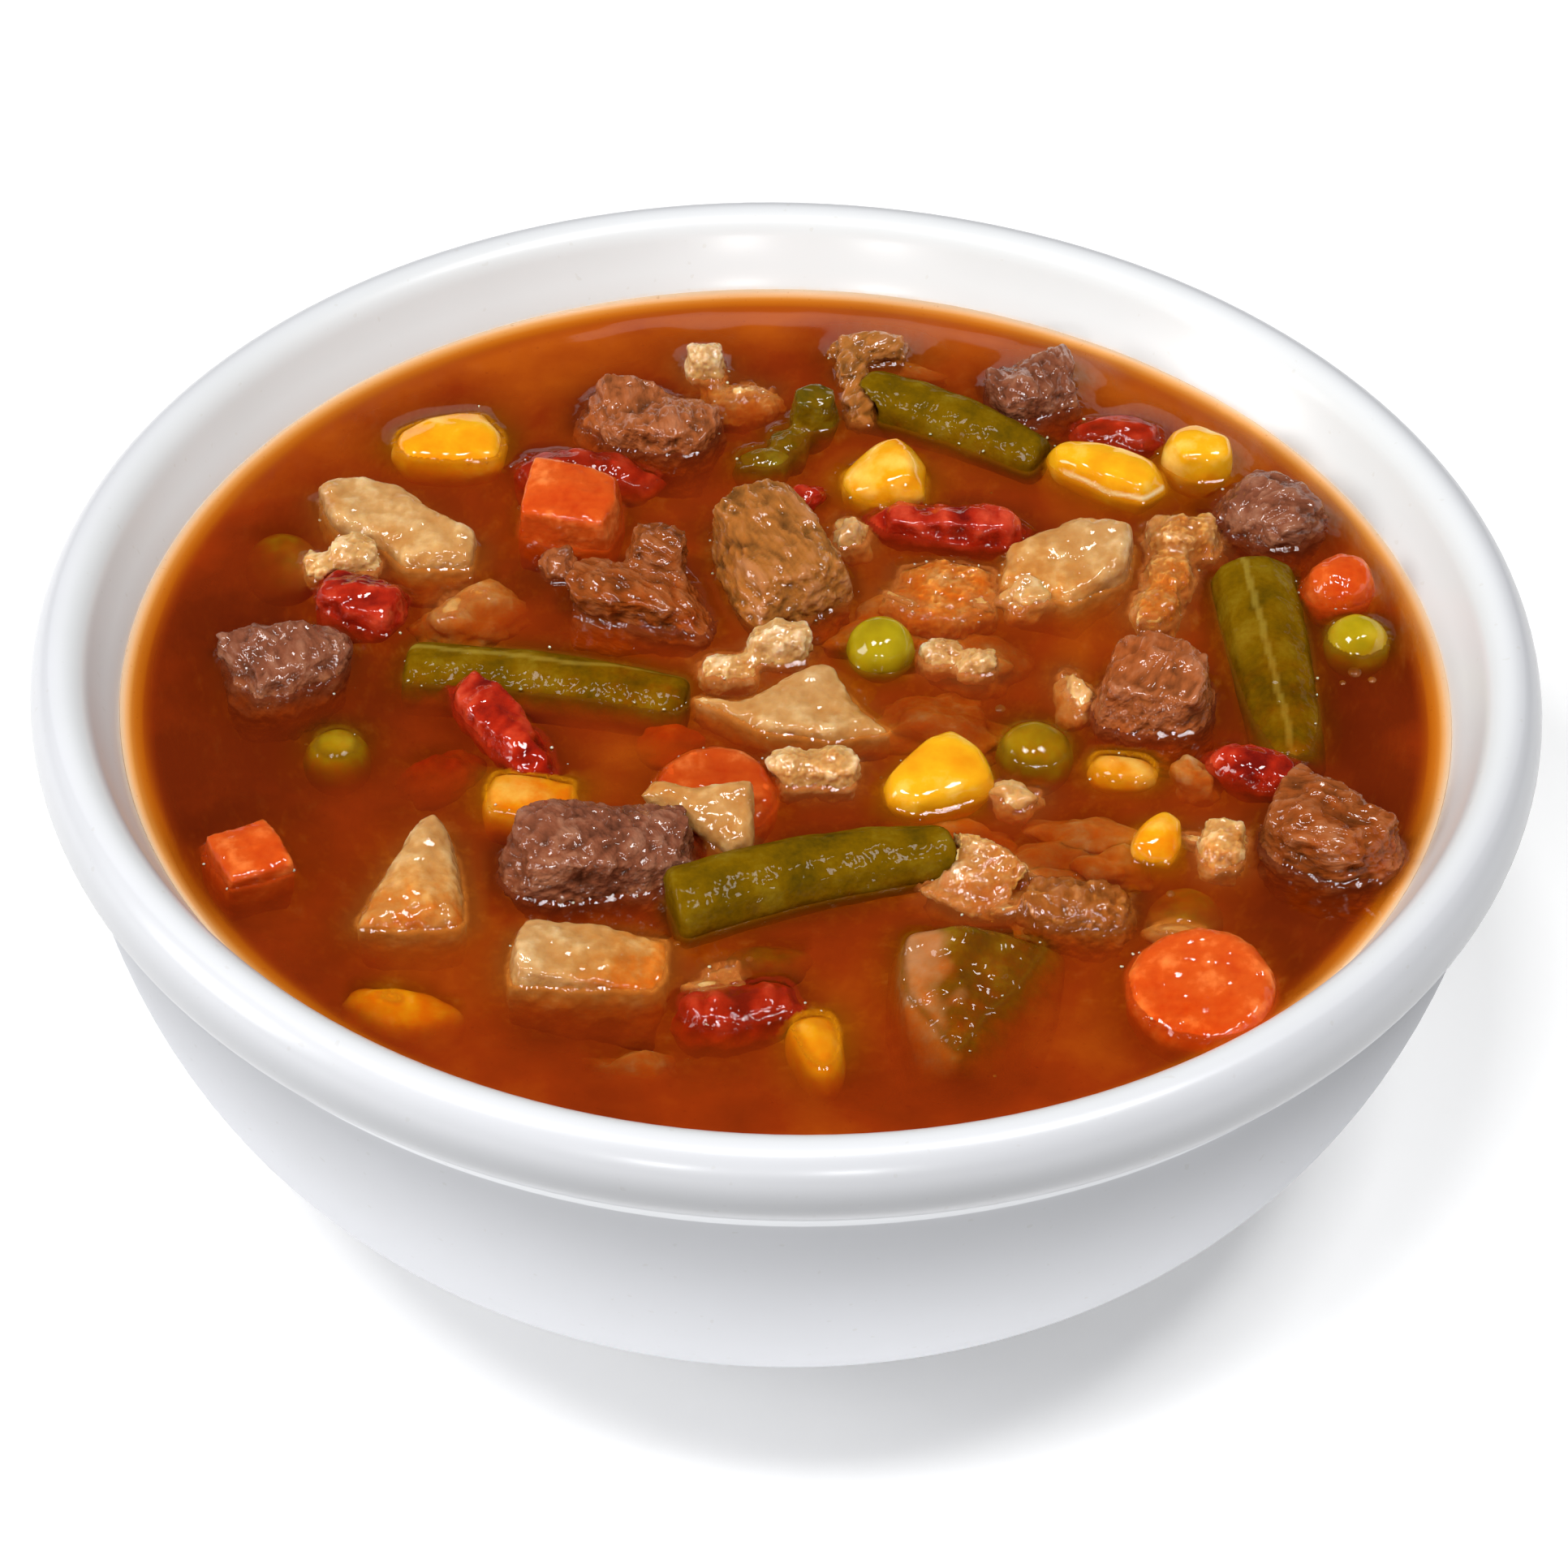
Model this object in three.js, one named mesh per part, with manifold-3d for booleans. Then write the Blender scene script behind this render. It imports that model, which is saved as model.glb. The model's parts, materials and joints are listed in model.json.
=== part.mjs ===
// A white stoneware bowl of beef and vegetable soup.
// Millimetres, +Z up. The origin is the middle of the underside of the bowl's foot,
// and -Y is the side of the bowl that is nearest in the usual view.
import * as THREE from 'three';
import { mergeVertices } from 'three/addons/utils/BufferGeometryUtils.js';
import Module from 'manifold-3d';

const wasm = await Module();
wasm.setup();

// Driving dimensions of the bowl.
const HEIGHT = 61;
const RIM_RADIUS = 80;
const RIM_HALF_WIDTH = 3.4;
const RIM_HALF_HEIGHT = 4.8;
const BODY_RADIUS = 76.8;
const FOOT_RADIUS = 41.2;
const FOOT_INNER_RADIUS = 35.5;
const FOOT_HEIGHT = 3;
const FOOT_RECESS = 2.4;
const FLOOR_TOP = 8.5;
const WALL_INNER_RADIUS = 70.6;
const AROUND = 44;

// Driving dimensions of the soup.
const LEVEL = HEIGHT - 8.5;
const BROTH_GAP = 0.3;
const PIECE_GAP = 0.35;
const WALL_CLEARANCE = 0.45;

const degrees = THREE.MathUtils.degToRad;

// Repeatable draw of numbers from 0 to 1.
function draws(seed) {
  let state = seed * 2654435761 >>> 0;
  return () => {
    state = (state + 0x6d2b79f5) >>> 0;
    let mixed = Math.imul(state ^ (state >>> 15), 1 | state);
    mixed = (mixed + Math.imul(mixed ^ (mixed >>> 7), 61 | mixed)) ^ mixed;
    return ((mixed ^ (mixed >>> 14)) >>> 0) / 4294967296;
  };
}

// Closed shapes become solids, and solids become closed shapes again.
function welded(geometry) {
  geometry.deleteAttribute('normal');
  geometry.deleteAttribute('uv');
  return mergeVertices(geometry, 1e-4);
}

function solidOf(geometry) {
  return new wasm.Manifold(new wasm.Mesh({
    numProp: 3,
    vertProperties: new Float32Array(geometry.attributes.position.array),
    triVerts: new Uint32Array(geometry.index.array),
  }));
}

function geometryOf(solid) {
  const mesh = solid.getMesh();
  const geometry = new THREE.BufferGeometry();
  geometry.setAttribute('position', new THREE.BufferAttribute(mesh.vertProperties, 3));
  geometry.setIndex(new THREE.BufferAttribute(mesh.triVerts, 1));
  return geometry;
}

function largestBody(solid) {
  return solid.decompose().sort((a, b) => b.volume() - a.volume())[0];
}

// Bends or stretches a shape: change(point) moves one point in place.
function reshaped(geometry, change) {
  const positions = geometry.attributes.position;
  const point = new THREE.Vector3();
  for (let i = 0; i < positions.count; i += 1) {
    point.fromBufferAttribute(positions, i);
    change(point);
    positions.setXYZ(i, point.x, point.y, point.z);
  }
  return geometry;
}

// The same shape with every face moved out by the gap.
function grown(geometry, gap) {
  const positions = geometry.attributes.position;
  const index = geometry.index.array;
  const around = Array.from({ length: positions.count }, () => []);
  const corner = [new THREE.Vector3(), new THREE.Vector3(), new THREE.Vector3()];
  for (let i = 0; i < index.length; i += 3) {
    corner.forEach((point, k) => point.fromBufferAttribute(positions, index[i + k]));
    const face = new THREE.Vector3().subVectors(corner[1], corner[0]);
    face.cross(new THREE.Vector3().subVectors(corner[2], corner[0])).normalize();
    for (let k = 0; k < 3; k += 1) around[index[i + k]].push(face);
  }
  const copy = geometry.clone();
  const widest = 0.5;
  for (let i = 0; i < positions.count; i += 1) {
    const out = new THREE.Vector3();
    around[i].forEach((face) => out.add(face));
    out.normalize();
    const steepest = Math.min(...around[i].map((face) => face.dot(out)));
    out.multiplyScalar(gap / Math.max(widest, steepest));
    copy.attributes.position.setXYZ(
      i,
      positions.getX(i) + out.x,
      positions.getY(i) + out.y,
      positions.getZ(i) + out.z,
    );
  }
  return copy;
}

// The bowl's wall, outside and inside, is one curve: flat at the floor and upright at the top.
const BELLY_POWER = 0.73;

function belly(floorRadius, wallRadius, floorHeight, rise, fromHeight, toHeight, steps) {
  const start = Math.acos(1 - (fromHeight - floorHeight) / rise);
  const end = Math.acos(1 - (toHeight - floorHeight) / rise);
  return Array.from({ length: steps + 1 }, (_, i) => {
    const turn = start + (end - start) * i / steps;
    const reach = Math.sin(turn) ** BELLY_POWER;
    const radius = floorRadius + (wallRadius - floorRadius) * reach;
    return new THREE.Vector2(radius, floorHeight + rise * (1 - Math.cos(turn)));
  });
}

const INSIDE = { floorRadius: 25, rise: 46.5 };
const OUTSIDE = { floorRadius: 29.5, rise: 54.2, toHeight: 50.3 };
const STEP_UNDER_RIM = { radius: 77.3, height: 51.3 };
const FLARE_OVER_WALL = { radius: 72.1, height: 55.4 };
const RIM_ANGLES = [-62, -26, 10, 50, 90, 130, 162];
const WALL_STEPS = 6;
const OUTSIDE_STEPS = 7;

function insideWall(inset, toHeight, steps) {
  const floor = FLOOR_TOP + inset;
  const { floorRadius, rise } = INSIDE;
  const wall = belly(floorRadius, WALL_INNER_RADIUS - inset, floor, rise, floor, toHeight, steps);
  return [new THREE.Vector2(0, floor), ...wall];
}

function bowlProfile() {
  const rimCentre = new THREE.Vector2(RIM_RADIUS - RIM_HALF_WIDTH, HEIGHT - RIM_HALF_HEIGHT);
  const rimPoint = (angle) => new THREE.Vector2(
    rimCentre.x + RIM_HALF_WIDTH * Math.cos(degrees(angle)),
    rimCentre.y + RIM_HALF_HEIGHT * Math.sin(degrees(angle)),
  );
  const footSide = 0.6;
  const foot = [
    new THREE.Vector2(0, FOOT_RECESS),
    new THREE.Vector2(FOOT_INNER_RADIUS - footSide, FOOT_RECESS),
    new THREE.Vector2(FOOT_INNER_RADIUS, 0),
    new THREE.Vector2(FOOT_RADIUS - footSide, 0),
    new THREE.Vector2(FOOT_RADIUS, footSide),
    new THREE.Vector2(FOOT_RADIUS + footSide, FOOT_HEIGHT + 0.2),
  ];
  const { floorRadius, rise, toHeight } = OUTSIDE;
  const fromHeight = FOOT_HEIGHT + 1;
  const outside = belly(
    floorRadius, BODY_RADIUS, FOOT_HEIGHT, rise, fromHeight, toHeight, OUTSIDE_STEPS,
  );
  const step = new THREE.Vector2(STEP_UNDER_RIM.radius, STEP_UNDER_RIM.height);
  const rim = RIM_ANGLES.map(rimPoint);
  const flare = new THREE.Vector2(FLARE_OVER_WALL.radius, FLARE_OVER_WALL.height);
  const inside = insideWall(0, LEVEL, WALL_STEPS).reverse();
  return [...foot, ...outside, step, ...rim, flare, ...inside];
}

function turnedOnAxis(profile) {
  const lathe = new THREE.LatheGeometry(profile, AROUND);
  lathe.rotateX(Math.PI / 2);
  return welded(lathe);
}

// Rounded block: a box whose faces bulge towards an egg as squareness falls to 2,
// roughened by a few long waves and brought to its size.
function block({ size, squareness = 4, rough = 0.06, seed = 1, cells = [3, 2, 2], warp = null }) {
  const next = draws(seed);
  const waves = Array.from({ length: 5 }, () => ({
    way: new THREE.Vector3(next() - 0.5, next() - 0.5, next() - 0.5).normalize(),
    pace: 4 + 5 * next(),
    phase: 2 * Math.PI * next(),
  }));
  const geometry = welded(new THREE.BoxGeometry(1, 1, 1, ...cells));
  reshaped(geometry, (point) => {
    const spread = Math.abs(point.x) ** squareness
      + Math.abs(point.y) ** squareness + Math.abs(point.z) ** squareness;
    point.multiplyScalar(0.5 / spread ** (1 / squareness));
    const swell = waves.reduce(
      (sum, wave) => sum + Math.sin(wave.pace * point.dot(wave.way) + wave.phase), 0,
    );
    point.multiplyScalar(1 + rough * swell / 2);
    if (warp) warp(point);
  });
  geometry.computeBoundingBox();
  const reach = geometry.boundingBox.getSize(new THREE.Vector3());
  return geometry.scale(size[0] / reach.x, size[1] / reach.y, size[2] / reach.z);
}

// Beef: a squarish crag, rougher than anything else in the bowl.
const beef = (size, seed, cells = [3, 3, 2]) => [
  block({ size, seed, cells, squareness: 3.6, rough: 0.13 }),
];

const diced = (size, seed) => [
  block({ size, seed, cells: [2, 2, 2], squareness: 7, rough: 0.05 }),
];

const soft = (size, seed) => [block({
  size,
  seed,
  cells: size[0] > 1.5 * size[1] ? [3, 2, 2] : [2, 2, 2],
  squareness: 2.7,
  rough: 0.16,
})];

// Corn: broad and rounded at the crown, narrow at the tip, with a slight dent on top.
const kernel = (size, seed) => [block({
  size,
  seed,
  squareness: 2.8,
  rough: 0.04,
  warp: (point) => {
    point.y *= 0.82 + 0.5 * point.x;
    point.z *= 0.9 + 0.25 * point.x;
  },
})];

const pea = (diameter) => {
  const ball = welded(new THREE.IcosahedronGeometry(diameter / 2, 1));
  return [reshaped(ball, (point) => {
    point.z *= 0.95;
  })];
};

// Carrot: a round slice with a softened edge.
const slice = (diameter, thickness) => {
  const edge = 1.1;
  const radius = diameter / 2;
  const half = thickness / 2;
  const profile = [
    [0, -half], [radius - edge, -half], [radius, edge - half],
    [radius, half - edge], [radius - edge, half], [0, half],
  ].map(([across, up]) => new THREE.Vector2(across, up));
  const disc = new THREE.LatheGeometry(profile, 14);
  disc.rotateX(Math.PI / 2);
  return [welded(disc)];
};

// Potato: a slab cut with a knife, its outline seen from above.
const slab = (outline, thickness, seed = 1) => {
  const edge = 0.9;
  const shape = new THREE.Shape(outline.map(([x, y]) => new THREE.Vector2(x, y)));
  const cut = new THREE.ExtrudeGeometry(shape, {
    depth: thickness - 2 * edge,
    steps: 1,
    bevelEnabled: true,
    bevelThickness: edge,
    bevelSize: edge,
    bevelOffset: -edge,
    bevelSegments: 1,
  });
  const next = draws(seed);
  const phase = 2 * Math.PI * next();
  const waviness = 0.45;
  const waveLength = 3.2;
  return [reshaped(welded(cut), (point) => {
    const [along, across] = [point.x / waveLength + phase, point.y / waveLength - phase];
    point.z += waviness * (Math.sin(along) + Math.sin(across));
  })];
};

// Green bean: an oval pod cut straight across, a little bowed, tapered towards +X.
const pod = ({ length, width, height, bow = 0, dip = 0, taper = 0.25 }) => {
  const oval = new THREE.Shape();
  oval.absellipse(0, 0, width / 2, height / 2, 0, 2 * Math.PI);
  const edge = 0.7;
  const rod = new THREE.ExtrudeGeometry(oval, {
    depth: length - 2 * edge,
    steps: 4,
    curveSegments: 5,
    bevelEnabled: true,
    bevelThickness: edge,
    bevelSize: edge,
    bevelOffset: -edge,
    bevelSegments: 1,
  });
  return [reshaped(welded(rod), (point) => {
    const along = point.z / length;
    const narrow = 1 - taper * along * along;
    const [across, up] = [point.x * narrow, point.y * narrow];
    const swing = Math.sin(Math.PI * Math.min(1, Math.max(0, along)));
    point.set(length * (along - 0.5), across + bow * swing, up - dip * along * along);
  })];
};

// Sweet pepper: a thick piece of wall with a ridge down its middle.
const ridged = (width, depth, height) => {
  const half = width / 2;
  const section = new THREE.Shape([
    [-half, -height / 2], [half, -height / 2], [half * 0.96, 0.05 * height],
    [half * 0.5, 0.3 * height], [-0.12 * width, height / 2], [-half * 0.85, 0.25 * height],
  ].map(([x, y]) => new THREE.Vector2(x, y)));
  const edge = 0.9;
  const wall = new THREE.ExtrudeGeometry(section, {
    depth: depth - 2 * edge,
    steps: 4,
    bevelEnabled: true,
    bevelThickness: edge,
    bevelSize: edge,
    bevelOffset: -edge,
    bevelSegments: 1,
  });
  wall.rotateX(Math.PI / 2);
  const endWidth = 0.78;
  const swell = 0.5;
  const narrowing = 0.1;
  const slant = 1.6;
  return [reshaped(welded(wall), (point) => {
    const along = point.y / depth + 0.5;
    point.x *= endWidth + swell * along * (1 - along) - narrowing * along;
    point.x += slant * along;
  })];
};

// Onion: one thin curved layer.
const layer = (width, depth, thickness, curl) => {
  const sheet = welded(new THREE.BoxGeometry(width, depth, thickness, 5, 3, 1));
  const radius = width / curl;
  return [reshaped(sheet, (point) => {
    const turn = point.x / radius;
    const reach = radius + point.z;
    point.x = reach * Math.sin(turn);
    point.z = reach * Math.cos(turn) - radius;
    point.y *= 1 - 0.5 * (point.x / width) ** 2;
  })];
};

// Crumbling lump: several small rounded bits that run into each other.
// Each bit is [x, y, z, width, depth, height].
const crumble = (bits, seed) => bits.map(([x, y, z, ...size], i) => {
  const bit = block({ size, seed: seed + i, cells: [2, 2, 2], squareness: 2.4, rough: 0.12 });
  bit.translate(x, y, z);
  return bit;
});

// A piece lies with the middle of its box at x, y and its highest point rise above the broth.
// tip lifts its far side, lean lowers its right side, and turn then swings it on its spot.
function laid(name, look, parts, { at, rise, turn = 0, tip = 0, lean = 0 }) {
  const swing = new THREE.Matrix4().makeRotationFromEuler(
    new THREE.Euler(degrees(tip), degrees(lean), degrees(turn), 'ZXY'),
  );
  const box = new THREE.Box3();
  parts.forEach((part) => {
    part.applyMatrix4(swing);
    part.computeBoundingBox();
    box.union(part.boundingBox);
  });
  const middle = box.getCenter(new THREE.Vector3());
  const move = new THREE.Vector3(at[0] - middle.x, at[1] - middle.y, LEVEL + rise - box.max.z);
  parts.forEach((part) => part.translate(...move));
  const joined = (gap) => parts
    .map((part) => solidOf(gap > 0 ? grown(part, gap) : part))
    .reduce((whole, part) => whole.add(part));
  return { name, look, solid: joined(0), pocket: joined(PIECE_GAP) };
}

const LOOKS = {
  glaze: { color: 0xeef0f2, roughness: 0.12, metalness: 0 },
  broth: { color: 0x9a3a08, roughness: 0.08, metalness: 0 },
  beef: { color: 0x6e4a3c, roughness: 0.45, metalness: 0 },
  shred: { color: 0xa8794a, roughness: 0.45, metalness: 0 },
  potato: { color: 0xd9b07a, roughness: 0.5, metalness: 0 },
  carrot: { color: 0xe4571b, roughness: 0.35, metalness: 0 },
  corn: { color: 0xf2b711, roughness: 0.25, metalness: 0 },
  pea: { color: 0x8a9a12, roughness: 0.25, metalness: 0 },
  bean: { color: 0x5f6410, roughness: 0.3, metalness: 0 },
  tomato: { color: 0xb3261d, roughness: 0.25, metalness: 0 },
  onion: { color: 0xd7b084, roughness: 0.35, metalness: 0 },
};

// The pieces, the one on top before its neighbours, because each is cut round those before it.
const pieces = [
  laid('beef_1', 'beef', beef([17, 12, 12], 11), { at: [-16.3, 45.4], rise: 4, turn: -8, lean: 6 }),
  laid('beef_2', 'beef', beef([15.5, 11.5, 11], 22), { at: [-53.8, 1.8], rise: 4.6, turn: 28 }),
  laid('beef_3', 'beef', [
    ...beef([17, 10, 10], 33),
    ...crumble([[1, 4.6, 3.2, 7, 6.5, 8]], 34),
  ], { at: [-15.9, 14.4], rise: 6.6, turn: -8 }),
  laid('beef_4', 'beef', beef([21.8, 12, 13.5], 44, [4, 3, 2]), {
    at: [-18.5, -29.2], rise: 6.8, turn: 5, lean: 4,
  }),
  laid('beef_5', 'beef', beef([13.2, 12.5, 14], 55), { at: [39.1, -1], rise: 6.6, turn: -8 }),
  laid('beef_6', 'beef', beef([11, 9.5, 11], 66), { at: [27, 52.4], rise: 4.8, turn: 20 }),
  laid('beef_7', 'beef', beef([12.5, 10.5, 11], 77), { at: [53.2, 30.8], rise: 4.8, turn: -38 }),
  laid('beef_8', 'beef', beef([15, 11.5, 12], 88), { at: [56.8, -22.2], rise: 6.4, turn: -32, tip: 6 }),
  laid('beef_9', 'shred', beef([14, 21, 12], 99, [3, 4, 2]), { at: [-0.9, 20], rise: 6.4, turn: 24 }),
  laid('shredded_beef', 'shred', crumble([
    [0, 7, 0, 9.5, 4.6, 5], [-2.4, 3.2, 0.2, 4, 7.4, 4], [-1.6, -2.4, -0.6, 4, 8, 3.6],
  ], 105), { at: [8.2, 53.4], rise: 3.8 }),
  laid('stewed_shred', 'shred', soft([13.5, 7.6, 7], 111), { at: [30, -33.6], rise: 2.8, turn: -6 }),

  laid('carrot_dice_1', 'carrot', diced([11.4, 9.8, 11], 3), {
    at: [-24.2, 27.4], rise: 5.8, turn: -12, tip: 6,
  }),
  laid('carrot_dice_2', 'carrot', diced([7.8, 7.8, 8], 4), {
    at: [-55, -29.4], rise: 2.8, turn: 28, tip: 8,
  }),
  laid('carrot_dice_3', 'carrot', soft([8.3, 7.2, 8], 5), { at: [59.8, 19], rise: 3.9 }),
  laid('carrot_dice_4', 'corn', diced([10.4, 7, 6], 6), {
    at: [-26.4, -18.4], rise: 0.9, turn: -6, tip: 4,
  }),
  laid('carrot_slice_1', 'carrot', slice(13.6, 4.5), { at: [-7.2, -17.6], rise: 2.4, tip: 10 }),
  laid('carrot_slice_2', 'carrot', slice(15.4, 5), { at: [42.6, -45], rise: 3, tip: 11, lean: -5 }),

  laid('potato_1', 'potato', slab([
    [-9.2, 4.8], [-5.4, 7], [0, 5.8], [3, 2.4], [8.8, -2], [8.8, -6.4], [1.6, -6.8],
    [-2.4, -2.8], [-6.8, -1],
  ], 8, 2), { at: [-43.4, 24.8], rise: 3.8, tip: 4 }),
  laid('potato_2', 'potato', slab([
    [-5.4, -7], [5.6, -6.4], [4.2, 3], [2.2, 8], [0.4, 7.4], [-2.6, 1],
  ], 9, 3), { at: [-37.4, -32.2], rise: 4.4, tip: 9 }),
  laid('potato_3', 'potato', diced([16.8, 9.2, 9.5], 31), {
    at: [-19.2, -43.8], rise: 3.3, turn: -3, lean: 8,
  }),
  laid('potato_4', 'potato', slab([
    [-6, 1.6], [-4.6, 3.6], [0.6, 3], [5.8, 4], [6, -3.6], [3.2, -4.4], [-0.6, -1.4], [-3, 0],
  ], 3.4, 4), { at: [-8.8, -23], rise: 5, tip: 22 }),
  laid('potato_5', 'potato', slab([
    [-11, 1.4], [-5, 0.6], [1.4, 5.4], [4, 5.8], [6.4, 1], [10.6, -3.6], [4, -5.4], [-3, -4.2],
  ], 5.5, 5), { at: [0.3, -3.4], rise: 3, tip: 3 }),
  laid('potato_6', 'onion', slab([
    [-6.8, -2], [-4, 3.4], [0, 5], [6.4, 3.6], [6.6, -2.6], [1.8, -5.6], [-3.4, -4.6],
  ], 4.4, 6), { at: [16.3, 16.8], rise: 1.6, tip: 4 }),
  laid('potato_7', 'potato', slab([
    [-7.2, -3.6], [-6.2, 2.4], [2, 6], [7.4, 4.2], [6.8, -1.6], [0.6, -6],
  ], 7.5, 7), { at: [30.4, 21.2], rise: 5.2, tip: 10, lean: -6 }),

  laid('corn_kernel_1', 'corn', kernel([13.4, 9.4, 6.4], 1), { at: [-38.5, 41.4], rise: 2.2, turn: 12 }),
  laid('corn_kernel_2', 'corn', kernel([10.4, 9.6, 8], 2), {
    at: [10.3, 35.6], rise: 5.2, turn: 10, lean: -24,
  }),
  laid('corn_kernel_3', 'corn', kernel([14.6, 7.2, 6.2], 3), { at: [35, 37.4], rise: 3.6, turn: -24 }),
  laid('corn_kernel_4', 'corn', soft([8.2, 7.4, 8], 14), { at: [45.2, 40.6], rise: 4.6, turn: 10 }),
  laid('corn_kernel_5', 'corn', kernel([13, 9.6, 6.6], 5), {
    at: [16.2, -14.2], rise: 3.9, turn: 36, tip: 6,
  }),
  laid('corn_kernel_6', 'corn', soft([7.6, 5, 4], 16), { at: [35.6, -11.4], rise: 1.2 }),
  laid('corn_kernel_7', 'corn', kernel([10, 6, 6.4], 7), { at: [3.8, -54.2], rise: 0.9, turn: 104 }),
  laid('corn_hull', 'corn', soft([5.2, 7, 4.6], 18), { at: [38.7, -23.4], rise: 3.1, turn: -14 }),

  laid('pea_1', 'pea', pea(7.5), { at: [10, 6.2], rise: 4.4 }),
  laid('pea_2', 'pea', pea(7.4), { at: [-47.2, -10.6], rise: 0.8 }),
  laid('pea_3', 'pea', pea(8.4), { at: [26.4, -8.2], rise: 2.4 }),
  laid('pea_4', 'pea', pea(7.4), { at: [61.6, 11.2], rise: 2.4 }),

  laid('green_bean_1', 'bean', pod({ length: 30.5, width: 8.4, height: 8, bow: 1, taper: 0.12 }), {
    at: [-25.7, 0.9], rise: 1.9, turn: -8,
  }),
  laid('green_bean_2', 'bean', pod({ length: 30, width: 9, height: 8.6, bow: 1.4 }), {
    at: [3, -31.2], rise: 4.6, turn: 18,
  }),
  laid('green_bean_3', 'bean', pod({ length: 23, width: 8, height: 7.6, bow: 1.2 }), {
    at: [17.6, 46.6], rise: 3.4, turn: -29,
  }),
  laid('green_bean_4', 'bean', pod({ length: 30, width: 9.4, height: 7.6, dip: 3, taper: 0.2 }), {
    at: [51.8, 6.2], rise: 3.8, turn: -84,
  }),
  laid('pepper_strip', 'bean', crumble([
    [0, 0, 0, 5.8, 5.4, 9], [-2.8, -3.8, -1.4, 5, 6, 5.4], [-5.6, -7.2, -1.8, 7, 5.4, 5.4],
  ], 65), { at: [-0.8, 43], rise: 4.8 }),
  laid('pepper_chunk', 'bean', ridged(21, 18, 9.5), { at: [20, -46.8], rise: 3.4, tip: 13, lean: 4 }),

  laid('tomato_1', 'tomato', soft([17.4, 6.6, 6.4], 1), { at: [-22.6, 36.2], rise: 2.4 }),
  laid('tomato_2', 'tomato', soft([11, 8.4, 8], 2), { at: [-46.2, 11.6], rise: 4, turn: -20 }),
  laid('tomato_3', 'tomato', soft([19.5, 6.6, 6.6], 3), { at: [-29.8, -8.4], rise: 3.5, turn: -50 }),
  laid('tomato_4', 'tomato', soft([18.4, 6.6, 6.8], 4), { at: [17.4, 27.8], rise: 3.7, turn: -4 }),
  laid('tomato_5', 'tomato', soft([11.2, 5.6, 6], 5), { at: [36.4, 45.4], rise: 2.2, turn: -14 }),
  laid('tomato_6', 'tomato', soft([11.6, 5.8, 6], 6), { at: [49.8, -11.4], rise: 2.9, turn: -16 }),
  laid('tomato_7', 'tomato', soft([13.8, 7, 6], 7), { at: [-4, -49.2], rise: 1.8, turn: 18 }),

  laid('onion_1', 'onion', crumble([
    [-3.6, 2.4, 1.6, 4.8, 5.8, 6.4], [0.6, -1.4, -1, 11, 6.6, 5],
  ], 21), { at: [-6.6, 53.2], rise: 4 }),
  laid('onion_2', 'onion', crumble([
    [0.6, 0.4, 0, 6, 5.4, 6], [-2.6, -0.8, -0.6, 5.2, 5, 5],
  ], 31), { at: [-48.8, 18.6], rise: 3.4 }),
  laid('onion_3', 'onion', layer(9.6, 8, 1.5, 1.5), { at: [19.4, -29.8], rise: 4.4, turn: -32, tip: 28 }),
  laid('onion_4', 'onion', crumble([
    [-2, 0.6, 0, 5.8, 4.6, 4.8], [2, -0.8, 0.2, 5.2, 4.4, 5],
  ], 51), { at: [18.3, 5.2], rise: 2.6 }),
  laid('onion_5', 'onion', soft([5.6, 7.2, 5.6], 61), { at: [45.6, -24.2], rise: 3, turn: -12 }),
  laid('cabbage_1', 'onion', crumble([
    [0.6, 6, 0, 9.4, 7.6, 7.6], [-0.6, 0, -0.4, 6.6, 8, 6.4], [-2, -6, 0, 6, 7.6, 6],
  ], 71), { at: [42.4, 20.6], rise: 4.2 }),
  laid('cabbage_2', 'onion', crumble([
    [2.6, 1.4, 0.8, 7.4, 5.6, 7], [-2.4, -1.2, -0.8, 7.2, 5.4, 5.4],
  ], 81), { at: [-3.4, 4.4], rise: 4.3 }),
  laid('cabbage_3', 'onion', crumble([
    [-2.2, 0, 0, 6.6, 5.8, 6.4], [2.4, 0.2, 0.2, 6.6, 5.8, 6],
  ], 91), { at: [3, -13.8], rise: 3.6 }),
];

// Every piece keeps its gap to those before it, and clear of the bowl's wall.
const cavity = solidOf(turnedOnAxis([
  ...insideWall(WALL_CLEARANCE, LEVEL, WALL_STEPS),
  new THREE.Vector2(WALL_INNER_RADIUS, HEIGHT),
  new THREE.Vector2(0, HEIGHT),
]));

function fitted() {
  const done = [];
  return pieces.map((food) => {
    const cut = done.reduce((solid, before) => solid.subtract(before), food.solid);
    done.push(food.pocket);
    return { ...food, solid: largestBody(cut.intersect(cavity)) };
  });
}

function brothSolid() {
  const full = solidOf(turnedOnAxis([
    ...insideWall(BROTH_GAP, LEVEL, WALL_STEPS),
    new THREE.Vector2(0, LEVEL),
  ]));
  return largestBody(pieces.reduce((solid, food) => solid.subtract(food.pocket), full));
}

// Each mesh has its own material, and its geometry is measured from the middle of its box.
function meshOf(name, look, geometry) {
  geometry.computeBoundingBox();
  const middle = geometry.boundingBox.getCenter(new THREE.Vector3());
  geometry.translate(-middle.x, -middle.y, -middle.z);
  const mesh = new THREE.Mesh(geometry, new THREE.MeshStandardMaterial(LOOKS[look]));
  mesh.name = name;
  mesh.position.copy(middle);
  return mesh;
}

const soup = new THREE.Group();
soup.add(meshOf('bowl', 'glaze', turnedOnAxis(bowlProfile())));
soup.add(meshOf('broth', 'broth', geometryOf(brothSolid())));
fitted().forEach(({ name, look, solid }) => soup.add(meshOf(name, look, geometryOf(solid))));

export default soup;
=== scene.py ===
import json
import math
import random

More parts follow.
